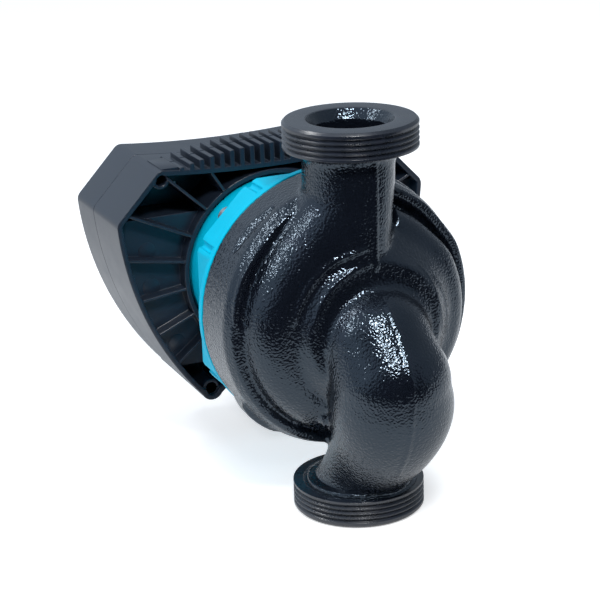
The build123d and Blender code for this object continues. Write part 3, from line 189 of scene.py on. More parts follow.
# %% White paper
FLOOR_GLOW, MIRRORED_SHARE = 0.56, 0.3     # the floor's own white, and how much mirrors show
FRONT = (math.sin(math.radians(-14)), -math.cos(math.radians(-14)), 0.0)
DARK_FROM = (0.11, 0.22)       # in mirrors the floor goes dark this far ahead of the pump


def white_paper():
    material = bpy.data.materials.new("white_paper")
    material.use_nodes = True
    tree = material.node_tree
    tree.nodes.clear()
    seen = add(tree, "LightPath")
    matt = add(tree, "BsdfDiffuse", Color=(0.8, 0.8, 0.8, 1))
    glow = add(tree, "Emission", Strength=FLOOR_GLOW)
    unlit = add(tree, "Emission", Strength=0.0)
    mirrored = compute(tree, "MAXIMUM", (seen, "Is Glossy Ray"), (seen, "Is Transmission Ray"))
    dimmer = compute(tree, "MULTIPLY", (mirrored, 0), MIRRORED_SHARE)
    white_rays = compute(tree, "MAXIMUM", (seen, "Is Camera Ray"), (dimmer, 0))
    lit = add(tree, "AddShader")
    join(tree, matt, lit, 0, 0)
    join(tree, mixed(tree, white_rays, 0, unlit, glow), lit, 0, 1)
    far = add(tree, "MapRange", interpolation_type="SMOOTHSTEP", From_Min=DARK_FROM[0],
              From_Max=DARK_FROM[1])
    join(tree, along(tree, add(tree, "TexCoord"), "Object", FRONT), far, "Value", "Value")
    hidden = compute(tree, "MULTIPLY", (far, 0), (seen, "Is Glossy Ray"))
    join(tree, mixed(tree, hidden, 0, lit, unlit), add(tree, "OutputMaterial"))
    return material


print("floor's glow", FLOOR_GLOW)

# %% [markdown]
# ## The floor
# The floor is one large square, a hair below the pump so that the two never coincide.

# %% Floor
FLOOR_Z = CAD_BOX[0].z - 0.4 * MM
FLOOR_HALF = 3.0

bm = bmesh.new()
bmesh.ops.create_grid(bm, x_segments=1, y_segments=1, size=FLOOR_HALF)
bmesh.ops.translate(bm, verts=bm.verts, vec=(0, 0, FLOOR_Z))
floor = bpy.data.objects.new("floor", bpy.data.meshes.new("floor"))
bm.to_mesh(floor.data)
bm.free()
bpy.context.scene.collection.objects.link(floor)
floor.data.materials.append(white_paper())
print("floor at", FLOOR_Z, "m")

# %% [markdown]
# ## The sky
# The camera sees a white sky. The pump itself is lit by another one: a cool, gentle light
# that is brighter on the left and nearly dark behind the camera, which keeps black paint
# black where it faces us and lets the sides shine.

# %% Sky
SKY_BRIGHT, SKY_DIM, SKY_DARK = 0.86, 0.36, 0.02
SKY_COLOUR = (0.74, 0.86, 1.0, 1)
BRIGHT_SIDE = (-0.93, 0.3, 0.2)
BRIGHT_SPAN = (-0.5, 0.8)      # along the bright side: from the dim sky to the bright one
DARK_SPAN = (0.5, 0.85)        # along the front: from the open sky to the dark behind the camera


def pale_sky():
    world = bpy.data.worlds.new("sky")
    world.use_nodes = True
    tree = world.node_tree
    tree.nodes.clear()
    ray = add(tree, "TexCoord")
    brightness = add(tree, "MapRange", interpolation_type="SMOOTHSTEP", From_Min=BRIGHT_SPAN[0],
                     From_Max=BRIGHT_SPAN[1], To_Min=SKY_DIM, To_Max=SKY_BRIGHT)
    join(tree, along(tree, ray, "Generated", BRIGHT_SIDE), brightness, "Value", "Value")
    darkness = add(tree, "MapRange", interpolation_type="SMOOTHSTEP", From_Min=DARK_SPAN[0],
                   From_Max=DARK_SPAN[1], To_Min=1.0, To_Max=SKY_DARK)
    join(tree, along(tree, ray, "Generated", FRONT), darkness, "Value", "Value")
    room = add(tree, "Background", Color=SKY_COLOUR)
    join(tree, compute(tree, "MULTIPLY", (brightness, 0), (darkness, 0)), room, 0, "Strength")
    white = add(tree, "Background", Color=(1, 1, 1, 1))
    shown = mixed(tree, add(tree, "LightPath"), "Is Camera Ray", room, white)
    join(tree, shown, add(tree, "OutputWorld"))
    return world


bpy.context.scene.world = pale_sky()
print("sky from", SKY_DARK, "to", SKY_BRIGHT)

# %% [markdown]
# ## Lamps
# An oval soft box hangs above and in front of the pump. It lights the pump and gives the
# glossy black paint its bright speckled streaks. Two smaller ones hang at the far left and
# behind it, and draw a second streak along the shoulder of the casting and a pale sheen
# down the side of the electronics box.

# %% Lamps
LAMP_AIM = Vector((0, 0, AXIS_Z))
LAMP_AWAY = 1.2


def soft_box(name, azimuth, elevation, width, height, radiance):
    """An oval lamp that looks at the pump. Radiance is how bright its face looks."""
    lamp = bpy.data.lights.new(name, "AREA")
    lamp.shape = "ELLIPSE"
    lamp.size, lamp.size_y = width, height
    lamp.energy = radiance * math.pi * math.pi / 4 * width * height
    a, e = math.radians(azimuth), math.radians(elevation)
    way = Vector((math.sin(a) * math.cos(e), -math.cos(a) * math.cos(e), math.sin(e)))
    obj = bpy.data.objects.new(name, lamp)
    bpy.context.scene.collection.objects.link(obj)
    obj.location = LAMP_AIM + way * LAMP_AWAY
    obj.rotation_euler = way.to_track_quat("Z", "Y").to_euler()


soft_box("key", -15, 52, 0.34, 0.27, 50.0)
soft_box("key_left", -95, 37, 0.24, 0.17, 25.0)
soft_box("key_back", -126, 54, 0.28, 0.18, 18.0)

# %% [markdown]
# ## A recipe for plain finishes
# Most pieces are one stuff all through, but no surface is one flat colour. This recipe
# drifts the colour and the roughness with a soft noise, and lays a fine grain over them
# as bump. Its numbers are all lengths in metres or shares of one, so that each finish can
# be read as a list.

# %% Plain finish
def plain_finish(name, colour, rough, metal=0.0, drift=0.12, patch=0.012, grain=0.0006,
                 depth=0.00002, rough_drift=0.06, sheen=0.5):
    """A moulded, rolled or painted surface. patch and grain are the sizes of its two noises."""
    material = bpy.data.materials.new(name)
    material.use_nodes = True
    tree = material.node_tree
    shader = tree.nodes["Principled BSDF"]
    shader.inputs["Metallic"].default_value = metal
    shader.inputs["Specular IOR Level"].default_value = sheen
    place = add(tree, "TexCoord")
    cloud = add(tree, "TexNoise", Scale=1 / patch, Detail=3.0, Roughness=0.55)
    join(tree, place, cloud, "Object", "Vector")
    tint = add(tree, "ValToRGB")
    tint.color_ramp.elements[0].position, tint.color_ramp.elements[1].position = 0.3, 0.7
    tint.color_ramp.elements[0].color = (*[c * (1 - drift) for c in colour], 1)
    tint.color_ramp.elements[1].color = (*[min(1, c * (1 + drift)) for c in colour], 1)
    join(tree, cloud, tint, "Fac", "Fac")
    join(tree, tint, shader, 0, "Base Color")
    fine = add(tree, "TexNoise", Scale=1 / grain, Detail=2.0)
    join(tree, place, fine, "Object", "Vector")
    gloss = add(tree, "MapRange", To_Min=max(0.03, rough - rough_drift),
                To_Max=rough + rough_drift)
    join(tree, cloud, gloss, "Fac", "Value")
    join(tree, gloss, shader, 0, "Roughness")
    relief = add(tree, "Bump", Strength=1.0, Distance=depth)
    join(tree, fine, relief, "Fac", "Height")
    join(tree, relief, shader, 0, "Normal")
    return material


print("recipe: plain_finish")

# %% [markdown]
# ## The coat on the casting
# The casing is cast in sand and dipped in black paint. The sand's grains show through the
# paint as a close orange peel, with slower waves under it. Both are bumps, one fed into the
# other, and a high IOR makes the paint wet. It is the bumps that break each lamp's
# reflection into a swarm of bright specks.

# %% Coat on the casting
PEEL_SIZE, PEEL_DEPTH = 1.05 * MM, 0.32 * MM
WAVE_SIZE, WAVE_DEPTH = 4.5 * MM, 0.12 * MM
COAT_PATCH = 18 * MM
COAT_ROUGH = (0.08, 0.15)
COAT_DARK, COAT_LIGHT = (0.0026, 0.0036, 0.0062, 1), (0.0060, 0.0080, 0.0130, 1)


def cast_coat():
    """Black paint over a sand casting."""
    material = bpy.data.materials.new("black_coat")
    material.use_nodes = True
    tree = material.node_tree
    shader = tree.nodes["Principled BSDF"]
    shader.inputs["Specular Tint"].default_value = (0.66, 0.83, 1.0, 1)
    shader.inputs["IOR"].default_value = 1.62
    place = add(tree, "TexCoord")
    cloud = add(tree, "TexNoise", Scale=1 / COAT_PATCH, Detail=3.0)
    join(tree, place, cloud, "Object", "Vector")
    tint = add(tree, "ValToRGB")
    tint.color_ramp.elements[0].color, tint.color_ramp.elements[1].color = COAT_DARK, COAT_LIGHT
    join(tree, cloud, tint, "Fac", "Fac")
    join(tree, tint, shader, 0, "Base Color")
    gloss = add(tree, "MapRange", To_Min=COAT_ROUGH[0], To_Max=COAT_ROUGH[1])
    join(tree, cloud, gloss, "Fac", "Value")
    join(tree, gloss, shader, 0, "Roughness")
    peel = add(tree, "TexNoise", Scale=1 / PEEL_SIZE, Detail=1.0, Roughness=0.3)
    join(tree, place, peel, "Object", "Vector")
    swell = add(tree, "TexNoise", Scale=1 / WAVE_SIZE, Detail=2.0)
    join(tree, place, swell, "Object", "Vector")
    waves = add(tree, "Bump", Strength=1.0, Distance=WAVE_DEPTH)
    join(tree, swell, waves, "Fac", "Height")
    grains = add(tree, "Bump", Strength=1.0, Distance=PEEL_DEPTH)
    join(tree, peel, grains, "Fac", "Height")
    join(tree, waves, grains, 0, "Normal")
    join(tree, grains, shader, 0, "Normal")
    return material


print("recipe: cast_coat, grains of", PEEL_SIZE, "m")

# %% [markdown]
# ## The coat on turned faces
# The ports are turned on a lathe before the dip, so the paint lies thin and even there, and
# the tool's rings show through it. They are a sine wave of the distance from the pipe's
# axis, which Object coordinates give directly, because that axis is the Z axis.

# %% Coat on turned faces
TURNED_PITCH, TURNED_DEPTH = 0.4 * MM, 0.006 * MM


def machined_coat():
    """Black dip over a turned face."""
    material = plain_finish("machined_coat", (0.009, 0.0125, 0.021), 0.28, drift=0.2,
                            patch=0.009, grain=0.0004, depth=0.000015, sheen=0.85)
    tree = material.node_tree
    place = tree.nodes["Texture Coordinate"]
    across = add(tree, "VectorMath", operation="MULTIPLY")
    across.inputs[1].default_value = (1, 1, 0)
    join(tree, place, across, "Object", 0)
    distance = add(tree, "VectorMath", operation="LENGTH")
    join(tree, across, distance)
    turns = compute(tree, "MULTIPLY", (distance, "Value"), math.tau / TURNED_PITCH)
    marks = add(tree, "Bump", Strength=0.6, Distance=TURNED_DEPTH)
    join(tree, compute(tree, "SINE", (turns, 0)), marks, 0, "Height")
    shader, relief = tree.nodes["Principled BSDF"], tree.nodes["Bump"]
    join(tree, relief, marks, 0, "Normal")
    join(tree, marks, shader, 0, "Normal")
    return material


turned_finish = machined_coat()
print("recipe: machined_coat, rings", TURNED_PITCH, "m apart")

# %% [markdown]
# ## The list of finishes
# Each solid carries the name of its stuff, such as copper or rubber, from the packed
# record. This list gives every name its finish: a colour, a roughness, and now and then
# how much metal it is. Colours are linear, so a dark plastic has numbers near 0.02.

# %% Finishes
FINISH = {
    "cast_iron_black": cast_coat(),
    "teal_paint": plain_finish("turquoise_paint", (0.0, 0.43, 0.62), 0.42, drift=0.03,
                               depth=0.000004, sheen=0.08),
    "box_plastic": plain_finish("anthracite_moulding", (0.012, 0.018, 0.030), 0.32,
                                depth=0.000006, grain=0.0005),
    "button_plastic": plain_finish("button_moulding", (0.10, 0.11, 0.12), 0.38),
    "stainless": plain_finish("pressed_steel", (0.62, 0.62, 0.60), 0.28, metal=1.0, grain=0.0003),
    "zinc_steel": plain_finish("zinc_plate", (0.55, 0.56, 0.58), 0.33, metal=1.0, grain=0.0004),
    "lamination": plain_finish("stacked_sheet", (0.30, 0.31, 0.33), 0.45, metal=1.0),
    "magnet": plain_finish("sintered_magnet", (0.06, 0.06, 0.065), 0.55, metal=0.4),
    "copper": plain_finish("enamelled_copper", (0.60, 0.21, 0.08), 0.25, metal=1.0),
    "carbon": plain_finish("bonded_carbon", (0.02, 0.02, 0.022), 0.5),
    "ceramic": plain_finish("ground_ceramic", (0.80, 0.78, 0.72), 0.2),
    "can_plastic": plain_finish("can_moulding", (0.05, 0.05, 0.055), 0.5),
    "impeller_plastic": plain_finish("impeller_moulding", (0.04, 0.036, 0.033), 0.48),
    "insulator_plastic": plain_finish("insulator_moulding", (0.66, 0.62, 0.50), 0.5),
    "rubber": plain_finish("moulded_rubber", (0.012, 0.012, 0.012), 0.7),
    "board": plain_finish("lacquered_board", (0.01, 0.10, 0.035), 0.3, patch=0.006),
    "component_black": plain_finish("component_moulding", (0.02, 0.02, 0.022), 0.42),
    "capacitor_sleeve": plain_finish("shrunk_sleeve", (0.015, 0.02, 0.05), 0.22),
    "spreader": plain_finish("rolled_aluminium", (0.72, 0.73, 0.74), 0.35, metal=1.0),
    "terminal": plain_finish("terminal_moulding", (0.16, 0.17, 0.18), 0.4),
    "label": plain_finish("bare_plate", (0.42, 0.44, 0.46), 0.42, metal=0.6, drift=0.04),
    "window": plain_finish("tinted_window", (0.010, 0.012, 0.014), 0.08, depth=0.0),
    "lamp": plain_finish("light_guide", (0.62, 0.72, 0.66), 0.15),
}
SLOTS = {part["node"]: part["material_slot"] for part in frame["record"]["subparts"]}
for name, node in NODES.items():
    node.data.materials.clear()
    node.data.materials.append(FINISH[SLOTS[name]])
print(len(FINISH), "finishes on", len(NODES), "nodes")

# %% [markdown]
# ## Small helpers for meshes
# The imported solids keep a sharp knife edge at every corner, which no real casting or
# moulding has. Pieces that show are therefore copied, given soft edges, and shown in place
# of the solid they came from. The copy rides on the same moving body as the original.

# %% Mesh helpers
BODY_NAMES = {empty: name for name, empty in frame["bodies"].items()}


def solid_copy(node, weld=0.002):
    """The node's mesh, with the doubled corners of its faces merged. weld is in millimetres."""
    bm = bmesh.new()
    bm.from_mesh(NODES[node].data)
    bmesh.ops.remove_doubles(bm, verts=bm.verts, dist=weld * MM)
    return bm


def finished(name, bm, node, sharp=None):
    """Write a mesh to an object that has the node's finish and moves with the node's body."""
    bmesh.ops.recalc_face_normals(bm, faces=bm.faces)
    mesh = bpy.data.meshes.new(name)
    bm.to_mesh(mesh)
    bm.free()
    obj = bpy.data.objects.new(name, mesh)
    bpy.context.scene.collection.objects.link(obj)
    mesh.polygons.foreach_set("use_smooth", [True] * len(mesh.polygons))
    if sharp:
        mesh.set_sharp_from_angle(angle=math.radians(sharp))
    mesh.materials.append(FINISH[SLOTS[node]])
    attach(obj, BODY_NAMES[NODES[node].parent])
    return obj


def open_edges(bm):
    return sum(not edge.is_manifold for edge in bm.edges)


def bevel(bm, edges, width, segments, slide=True):
    """Round the edges off. width is in millimetres."""
    bmesh.ops.bevel(bm, geom=edges, offset=width * MM, offset_type="OFFSET", segments=segments,
                    profile=0.5, affect="EDGES", clamp_overlap=False, material=-1,
                    loop_slide=slide)


# %% [markdown]
# ## The casting in even facets
# A sand casting has no sharp corners: molten iron leaves a generous fillet wherever two
# walls meet, and rounds off each outer edge. A bevel would fail here, because the volute,
# the neck and the elbow run into each other everywhere. Instead the Remesh modifier
# rebuilds the solid from small even facets, whose corners can then be moved like clay.
# The corners are read into one big array, which numpy moves far faster than a loop could.

# %% Even facets
VOXEL = 1.05 * MM


def rebuilt(bm):
    """The same solid in even facets, from the remesh modifier."""
    source = bpy.data.objects.new("rebuilt", bpy.data.meshes.new("rebuilt"))
    bm.to_mesh(source.data)
    bm.free()
    bpy.context.scene.collection.objects.link(source)
    remesh = source.modifiers.new("remesh", "REMESH")
    remesh.mode = "VOXEL"
    remesh.voxel_size = VOXEL
    evaluated = source.evaluated_get(bpy.context.evaluated_depsgraph_get())
    mesh = bpy.data.meshes.new_from_object(evaluated)
    bpy.data.objects.remove(source)
    return mesh


skin_mesh = rebuilt(solid_copy("volute_casting"))
count = len(skin_mesh.vertices)
spots = np.empty(count * 3)
skin_mesh.vertices.foreach_get("co", spots)
spots = spots.reshape(-1, 3)
pairs = np.empty(len(skin_mesh.edges) * 2, int)
skin_mesh.edges.foreach_get("vertices", pairs)
pairs = pairs.reshape(-1, 2)
neighbours = np.bincount(pairs.ravel(), minlength=count)[:, None]
print("casting skin", count, "corners")

# %% [markdown]
# ## Where the casting is rounded, and how much
# Fillets belong on the volute, the neck and the elbow. The rim is turned flat for the
# motor, and the rings are turned too, so they stay as they are. The terraces round the eye
# are crisper than the rest. The neck is drawn in a little on its right, where the solid is
# fuller than the real neck. Each rule is a true or a false for every corner.

# %% Zones
RING_Z = 77.4 * MM             # the threaded rings begin here, above and below the middle
FILLETS_TO_Z = RING_Z + 2 * MM
HOLLOW_ROUNDS = 44
EYE_ROUNDS, EYE_R = 9, (26.5 * MM, 40.0 * MM)
FRONT_OF_EYE, BACK_OF_FILLETS = -12 * MM, 24 * MM      # places along the motor's axis
RIM_R, RIM_HALF_HEIGHT = 47 * MM, 62.5 * MM
NECK_SLIM, NECK_BACK = 2.2 * MM, 22 * MM
NECK_BEGINS, NECK_ENDS = (22 * MM, 36 * MM), (72 * MM, 76.5 * MM)
NECK_SIDE = (4 * MM, 19 * MM)


def smooth_step(values, start, end):
    """0 before the start, 1 after the end, and a smooth rise between them."""
    share = np.clip((values - start) / (end - start), 0, 1)
    return share**2 * (3 - 2 * share)


rise = spots[:, 2] - AXIS_Z
radius, height = np.hypot(spots[:, 0], rise), np.abs(rise)
on_rim = (radius > RIM_R) & (height < RIM_HALF_HEIGHT) & (spots[:, 1] > FRONT_OF_EYE)
filleted = ~on_rim & (spots[:, 1] < BACK_OF_FILLETS) & (height < FILLETS_TO_Z)
round_eye = (radius > EYE_R[0]) & (radius < EYE_R[1]) & (spots[:, 1] < FRONT_OF_EYE)
rounds = np.where(round_eye, EYE_ROUNDS, HOLLOW_ROUNDS) * filleted

slim = smooth_step(rise, *NECK_BEGINS) * (1 - smooth_step(rise, *NECK_ENDS))
slim *= smooth_step(spots[:, 0], *NECK_SIDE) * (spots[:, 1] < NECK_BACK)
spots[:, 0] -= NECK_SLIM * slim
print(int(filleted.sum()), "corners get fillets,", int(on_rim.sum()), "lie on the rim")

# %% [markdown]
# ## Fillets
# Every facet corner is drawn half of the way to the middle of its neighbours, many times
# in hollows and only a few times on ridges. Hollows fill up as they do with solder, and
# ridges stay. A corner lies in a hollow when the pull points the way the surface faces.

# %% Fillets
RIDGE_ROUNDS, RIM_ROUNDS = 3, 6


def corner_normals():
    """The directions in which the skin faces at its corners, at the present spots."""
    skin_mesh.vertices.foreach_set("co", spots.ravel())
    skin_mesh.update()
    normals = np.empty(count * 3)
    skin_mesh.vertices.foreach_get("normal", normals)
    return normals.reshape(-1, 3)


def drawn_in(spots):
    """How far each corner lies from the middle of its neighbours."""
    total = np.zeros_like(spots)
    for axis in range(3):
        total[:, axis] += np.bincount(pairs[:, 0], spots[pairs[:, 1], axis], count)
        total[:, axis] += np.bincount(pairs[:, 1], spots[pairs[:, 0], axis], count)
    return total / neighbours - spots


for step in range(HOLLOW_ROUNDS):
    pull = drawn_in(spots)
    hollow = (pull * corner_normals()).sum(axis=1) > 0
    moved = hollow & (step < rounds)
    if step < RIM_ROUNDS:
        moved |= hollow
    if step < RIDGE_ROUNDS:
        moved[:] = True
    spots = spots + 0.5 * pull * moved[:, None]
print(HOLLOW_ROUNDS, "rounds in hollows,", RIDGE_ROUNDS, "on ridges")

# %% [markdown]
# ## Lines on the casting
# The sand mould is made in two halves, and a little iron runs into the gap between them.
# It leaves a low ridge down the neck and over the crest of the elbow. Small tools and core
# seats leave other ridges and dimples. Most of them run round the motor's axis, so they are
# arcs, given by a radius, a turn and a depth along the axis, each of which may drift.

# %% Ridges and dimples
def swept(radii, turn, depths, points=9):
    """Points round the motor axis. Radii and depths (Y) are spread evenly over the turn."""
    share = np.linspace(0, 1, points)
    radius, depth = (np.interp(share, np.linspace(0, 1, len(values)), values)
                     for values in (radii, depths))
    angle = np.radians(turn[0] + share * (turn[1] - turn[0]))
    return np.stack((radius * np.cos(angle), depth, radius * np.sin(angle)), axis=1)


# Each line: points (X, Y, Z) from the crossing of the axes, half width, height, tapered ends.
LINES = {
    "parting_ridge": (((0.3, -23, 75), (0.3, -22.7, 28)), 1.3, 0.8, False),
    "parting_step": (((-5.2, -22.6, 74), (-5.6, -22.7, 44)), 1.2, 0.35, True),
    "crest_ridge": (((-0.9, -33.5, 15.5), (0.5, -44, 3.5), (0, -55, -14), (-0.3, -56, -26),
                     (-0.6, -52, -44), (-0.9, -42, -61)), 1.25, 0.65, False),
    "rim_edge_low": (swept((63.4, 62.1), (213, 235), (6, 5)), 1.3, 0.7, True),
    "rim_edge_high": (swept((59.6, 58.9), (65, 30), (4, 6.5)), 1.3, 0.6, True),
    "bowl_line_low": (swept((33.8, 31.7, 33.7), (50, -21), (-19.6, -21.9, -19.7)), 1.2, 0.6, True),
    "bowl_line_high": (swept((34.9, 37.8, 39), (34, -20), (-18.5, -15.4, -14.2)), 1.2, 0.6, True),
    "web_knob": (((-22, -13, -38), (-21, -13, -44)), 4.2, 2.0, True),
    "rim_dimple": (swept((62, 62), (122, 147), (9.2, 11.8)), 3.4, -1.5, True),
    "eye_outer": (swept((37.8, 37.8), (97, 170), (-22.4, -19, -17.6)), 2.8, 1.2, True),
    "eye_inner": (swept((30.6, 30.6), (93, 172), (-22.5, -22.5)), 1.8, 0.8, True),
    "shoulder_ridge": (swept((59.9, 58.3, 59.5, 57.8), (117, 179), (-0.4, -1.8, -1.4, -2.6)),
                       1.9, 0.8, True),
}
print(len(LINES), "lines")

# %% [markdown]
# ## Pushing the lines out of the skin
# Every facet corner near a line is pushed out or in along the skin's own normal, most in
# the middle of the line. The distance to the line is measured along the surface, so a line
# that hangs a millimetre over it or under it still marks it.

# %% Push the lines
LINE_REACH = 3.5 * MM          # a line bears on skin that is this near to it
BOX_MARGIN = 0.02 * MM
normals = corner_normals()


def line_push(points, half_width, height, tapered):
    """How far each corner of the skin is pushed by one line, in metres."""
    path = np.array(points) * MM + (0, 0, AXIS_Z)
    lengths = np.linalg.norm(np.diff(path, axis=0), axis=1)
    nearest, share = np.full(count, np.inf), np.zeros(count)
    for k, (start, end) in enumerate(zip(path[:-1], path[1:])):
        along_run = np.clip((spots - start) @ (end - start) / lengths[k] ** 2, 0, 1)
        gap = spots - start - along_run[:, None] * (end - start)
        depth = (gap * normals).sum(axis=1)
        gap = np.linalg.norm(gap - depth[:, None] * normals, axis=1)
        gap[np.abs(depth) > LINE_REACH] = np.inf
        closer = gap < nearest
        nearest[closer] = gap[closer]
        share[closer] = ((lengths[:k].sum() + along_run * lengths[k]) / lengths.sum())[closer]
    taper = np.sqrt(np.sin(np.pi * np.clip(share, 0.001, 0.999))) if tapered else 1
    return height * MM * np.clip(1 - (nearest / (half_width * MM * taper)) ** 2, 0, 1) ** 2


push = sum(line_push(*line) for line in LINES.values())
spots = spots + push[:, None] * normals
spots[:, 1] = np.maximum(spots[:, 1], CAD_BOX[0].y + BOX_MARGIN)
skin_mesh.vertices.foreach_set("co", spots.ravel())
print("the lines move", int((push != 0).sum()), "corners")

# %% [markdown]
# ## Cutting off the rings
# The rings are too fine for facets of a millimetre, and they are made on their own below.
# Two planes cut them off the skin. Each cut leaves two round edges, the outer wall's and
# the waterway's, and a bridge between the two closes the skin again.

# %% Skin without its rings
bm = bmesh.new()
bm.from_mesh(skin_mesh)
for side in (-1, 1):
    everything = [*bm.verts, *bm.edges, *bm.faces]
    cut = bmesh.ops.bisect_plane(bm, geom=everything, plane_co=(0, 0, AXIS_Z + side * RING_Z),
                                 plane_no=(0, 0, side), clear_outer=True)
    lip = [part for part in cut["geom_cut"] if isinstance(part, bmesh.types.BMEdge)]
    bmesh.ops.bridge_loops(bm, edges=lip)
print("casting skin", len(bm.faces), "faces,", open_edges(bm), "open edges")
skin = finished("casting_skin", bm, "volute_casting")

# %% [markdown]
# ## A lathe
# A lathe turns an outline round an axis, and so does the spin operator. soft() first rounds
# the corners of the outline, each by its own radius, because a cut edge is always broken a
# little. A corner's curve is a parabola through two points on its sides.

# %% Lathe
LATHE_STEPS, CORNER_STEPS = 160, 4


def soft(corners):
    """Points of an outline whose corners, given as (across, along, radius), are rounded."""
    points = []
    for k, (x, y, radius) in enumerate(corners):
        corner = Vector((x, y))
        before = Vector(corners[k - 1][:2]) - corner
        after = Vector(corners[(k + 1) % len(corners)][:2]) - corner
        if radius == 0:
            points.append(corner)
            continue
        reach = min(radius / math.tan(before.angle(after) / 2), 0.45 * before.length,
                    0.45 * after.length)
        start, end = corner + before.normalized() * reach, corner + after.normalized() * reach
        for step in range(CORNER_STEPS + 1):
            t = step / CORNER_STEPS
            points.append(start * (1 - t) ** 2 + corner * 2 * t * (1 - t) + end * t**2)
    return points


def lathe(corners, centre, axis, steps=LATHE_STEPS):
    """Turn a closed outline, in millimetres, about an upright axis through the centre."""
    bm = bmesh.new()
    ring = [bm.verts.new(centre + Vector((across, 0, 0)) * MM + axis * height * MM)
            for across, height in soft(corners)]
    edges = [bm.edges.new((ring[k - 1], ring[k])) for k in range(len(ring))]
    bmesh.ops.spin(bm, geom=[*ring, *edges], cent=centre, axis=axis, dvec=(0, 0, 0),
                   angle=math.tau, steps=steps, use_merge=True, use_duplicate=False)
    bmesh.ops.remove_doubles(bm, verts=bm.verts, dist=0.001 * MM)
    return bm


print("helpers: soft, lathe")

# %% [markdown]
# ## The threaded rings
# Each pipe end is turned after casting: a flat sealing face, a countersunk mouth and a pipe
# thread of 11 turns to the inch. The thread is drawn as plain grooves, because its slope is
# far too small to see. The mouth is not turned, so it gets the casting's own coat.

# %% Threaded rings
RING_FACE = (CAD_BOX[1].z - AXIS_Z) / MM              # heights from the middle, in millimetres
RING_FOOT, RING_HUB = RING_FACE - 12.5, RING_FACE - 13.4
CREST_R, ROOT_R, BORE_R, MOUTH_R = 29.75, 28.35, 16.0, 19.4
HUB_R, FACE_R, CHAMFER = 20.2, 28.6, 1.2
PITCH, MOUTH_DEPTH = 2.309, 4.5
GROOVE_DEEPEST, GROOVE_END = 0.42 * PITCH, 0.84 * PITCH


def ring_outline():
    outline = [(BORE_R + 0.4, RING_HUB, 0), (HUB_R, RING_HUB, 0), (HUB_R, RING_FOOT, 0),
               (CREST_R, RING_FOOT, 0.25)]
    groove = RING_FOOT + PITCH / 2
    while groove + PITCH / 2 < RING_FACE - CHAMFER:
        outline += [(CREST_R, groove, 0.12), (ROOT_R, groove + GROOVE_DEEPEST, 0.2),
                    (CREST_R, groove + GROOVE_END, 0.12)]
        groove += PITCH
    outline += [(CREST_R, RING_FACE - CHAMFER, 0.3), (FACE_R, RING_FACE, 0.3),
                (MOUTH_R, RING_FACE, 1.4), (BORE_R, RING_FACE - MOUTH_DEPTH, 1.0),
                (BORE_R, RING_FOOT - 0.2, 0)]
    return outline


centre = Vector((0, 0, AXIS_Z))
for name, side in (("outlet_ring", 1), ("inlet_ring", -1)):
    bm = lathe(ring_outline(), centre, Vector((0, 0, side)))
    print(name, len(bm.faces), "faces,", open_edges(bm), "open edges")
    ring = finished(name, bm, "volute_casting", sharp=50)
    ring.data.materials.clear()
    ring.data.materials.append(turned_finish)
    ring.data.materials.append(FINISH["cast_iron_black"])
    for facet in ring.data.polygons:
        if math.hypot(facet.center.x, facet.center.y) < (MOUTH_R - 0.1) * MM:
            facet.material_index = 1

# The skin now stands for the solid, and the two rings beside it.
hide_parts("volute_casting")

# %% [markdown]
# ## The collar at the elbow's foot
# The foot of the elbow ends in a low rough collar, which the lathe left standing when it
# cut the ring's upper face. It is a disc with its rim rounded over, and it stands a little
# forward of the pipe axis, as the bend does.

# %% Collar at the elbow's foot
COLLAR_AT, COLLAR_OUT, COLLAR_IN, COLLAR_TOP = Vector((-0.4, -2.6, 0)), 24.2, 17.5, 74.9
COLLAR_STEPS = 96
bm = lathe([(COLLAR_IN, RING_HUB, 0), (COLLAR_OUT, RING_HUB + 1.2, 0.3),
            (COLLAR_OUT, COLLAR_TOP, 1.6), (COLLAR_IN, COLLAR_TOP - 0.4, 0.2)],
           centre + COLLAR_AT * MM, Vector((0, 0, -1)), steps=COLLAR_STEPS)
print("elbow collar", len(bm.faces), "faces,", open_edges(bm), "open edges")
finished("elbow_collar", bm, "volute_casting")

# %% [markdown]
# ## The box's outer corners
# The two halves of the electronics box share one outline, and its outer corners are
# rounder than the rest, to be kind to hands. They are found by their place and by running
# along the motor's axis. A bevel may overshoot at a sharp tip by a fraction of a
# millimetre, so a second helper holds every corner inside the solid's own box.

# %% Outer corners
cover_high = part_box("front_cover")[1]
BOX_SIDE, BOX_TOP = cover_high.x, cover_high.z - AXIS_Z
BOX_CORNERS = ((BOX_SIDE, 30.8 * MM), (57.2 * MM, BOX_TOP))     # of its outline, across and up
CORNER_FOUND_IN, CORNER_LONG = 1.5 * MM, 4 * MM
CORNER_ROUND = 2.2


def kept_inside(bm, node):
    """Hold every corner inside the box round the solid that the copy stands for."""
    solid = [vert.co for vert in NODES[node].data.vertices]
    for axis in range(3):
        low, high = min(co[axis] for co in solid), max(co[axis] for co in solid)
        for vert in bm.verts:
            vert.co[axis] = min(max(vert.co[axis], low), high)


def outer_corners(bm):
    """Long edges of the box at the outer corners of its outline."""
    found = []
    for edge in bm.edges:
        middle = (edge.verts[0].co + edge.verts[1].co) / 2
        way = edge.verts[1].co - edge.verts[0].co
        if abs(way.y) > 0.9 * way.length and way.length > CORNER_LONG and any(
                math.hypot(abs(middle.x) - across, middle.z - AXIS_Z - high) < CORNER_FOUND_IN
                for across, high in BOX_CORNERS):
            found.append(edge)
    return found


print("the box has", len(BOX_CORNERS), "outer corners on each side")

# %% [markdown]
# ## Rounding a moulded piece
# A mould can't make a knife edge either, and a small round at each corner is what catches
# the light along the ribs and the rims. The flat facets of a solid are merged first, so
# that only real corners are left, and then each corner is bevelled. Weighted normals keep
# the large flat walls flat to the eye, though the bevels beside them are smooth.

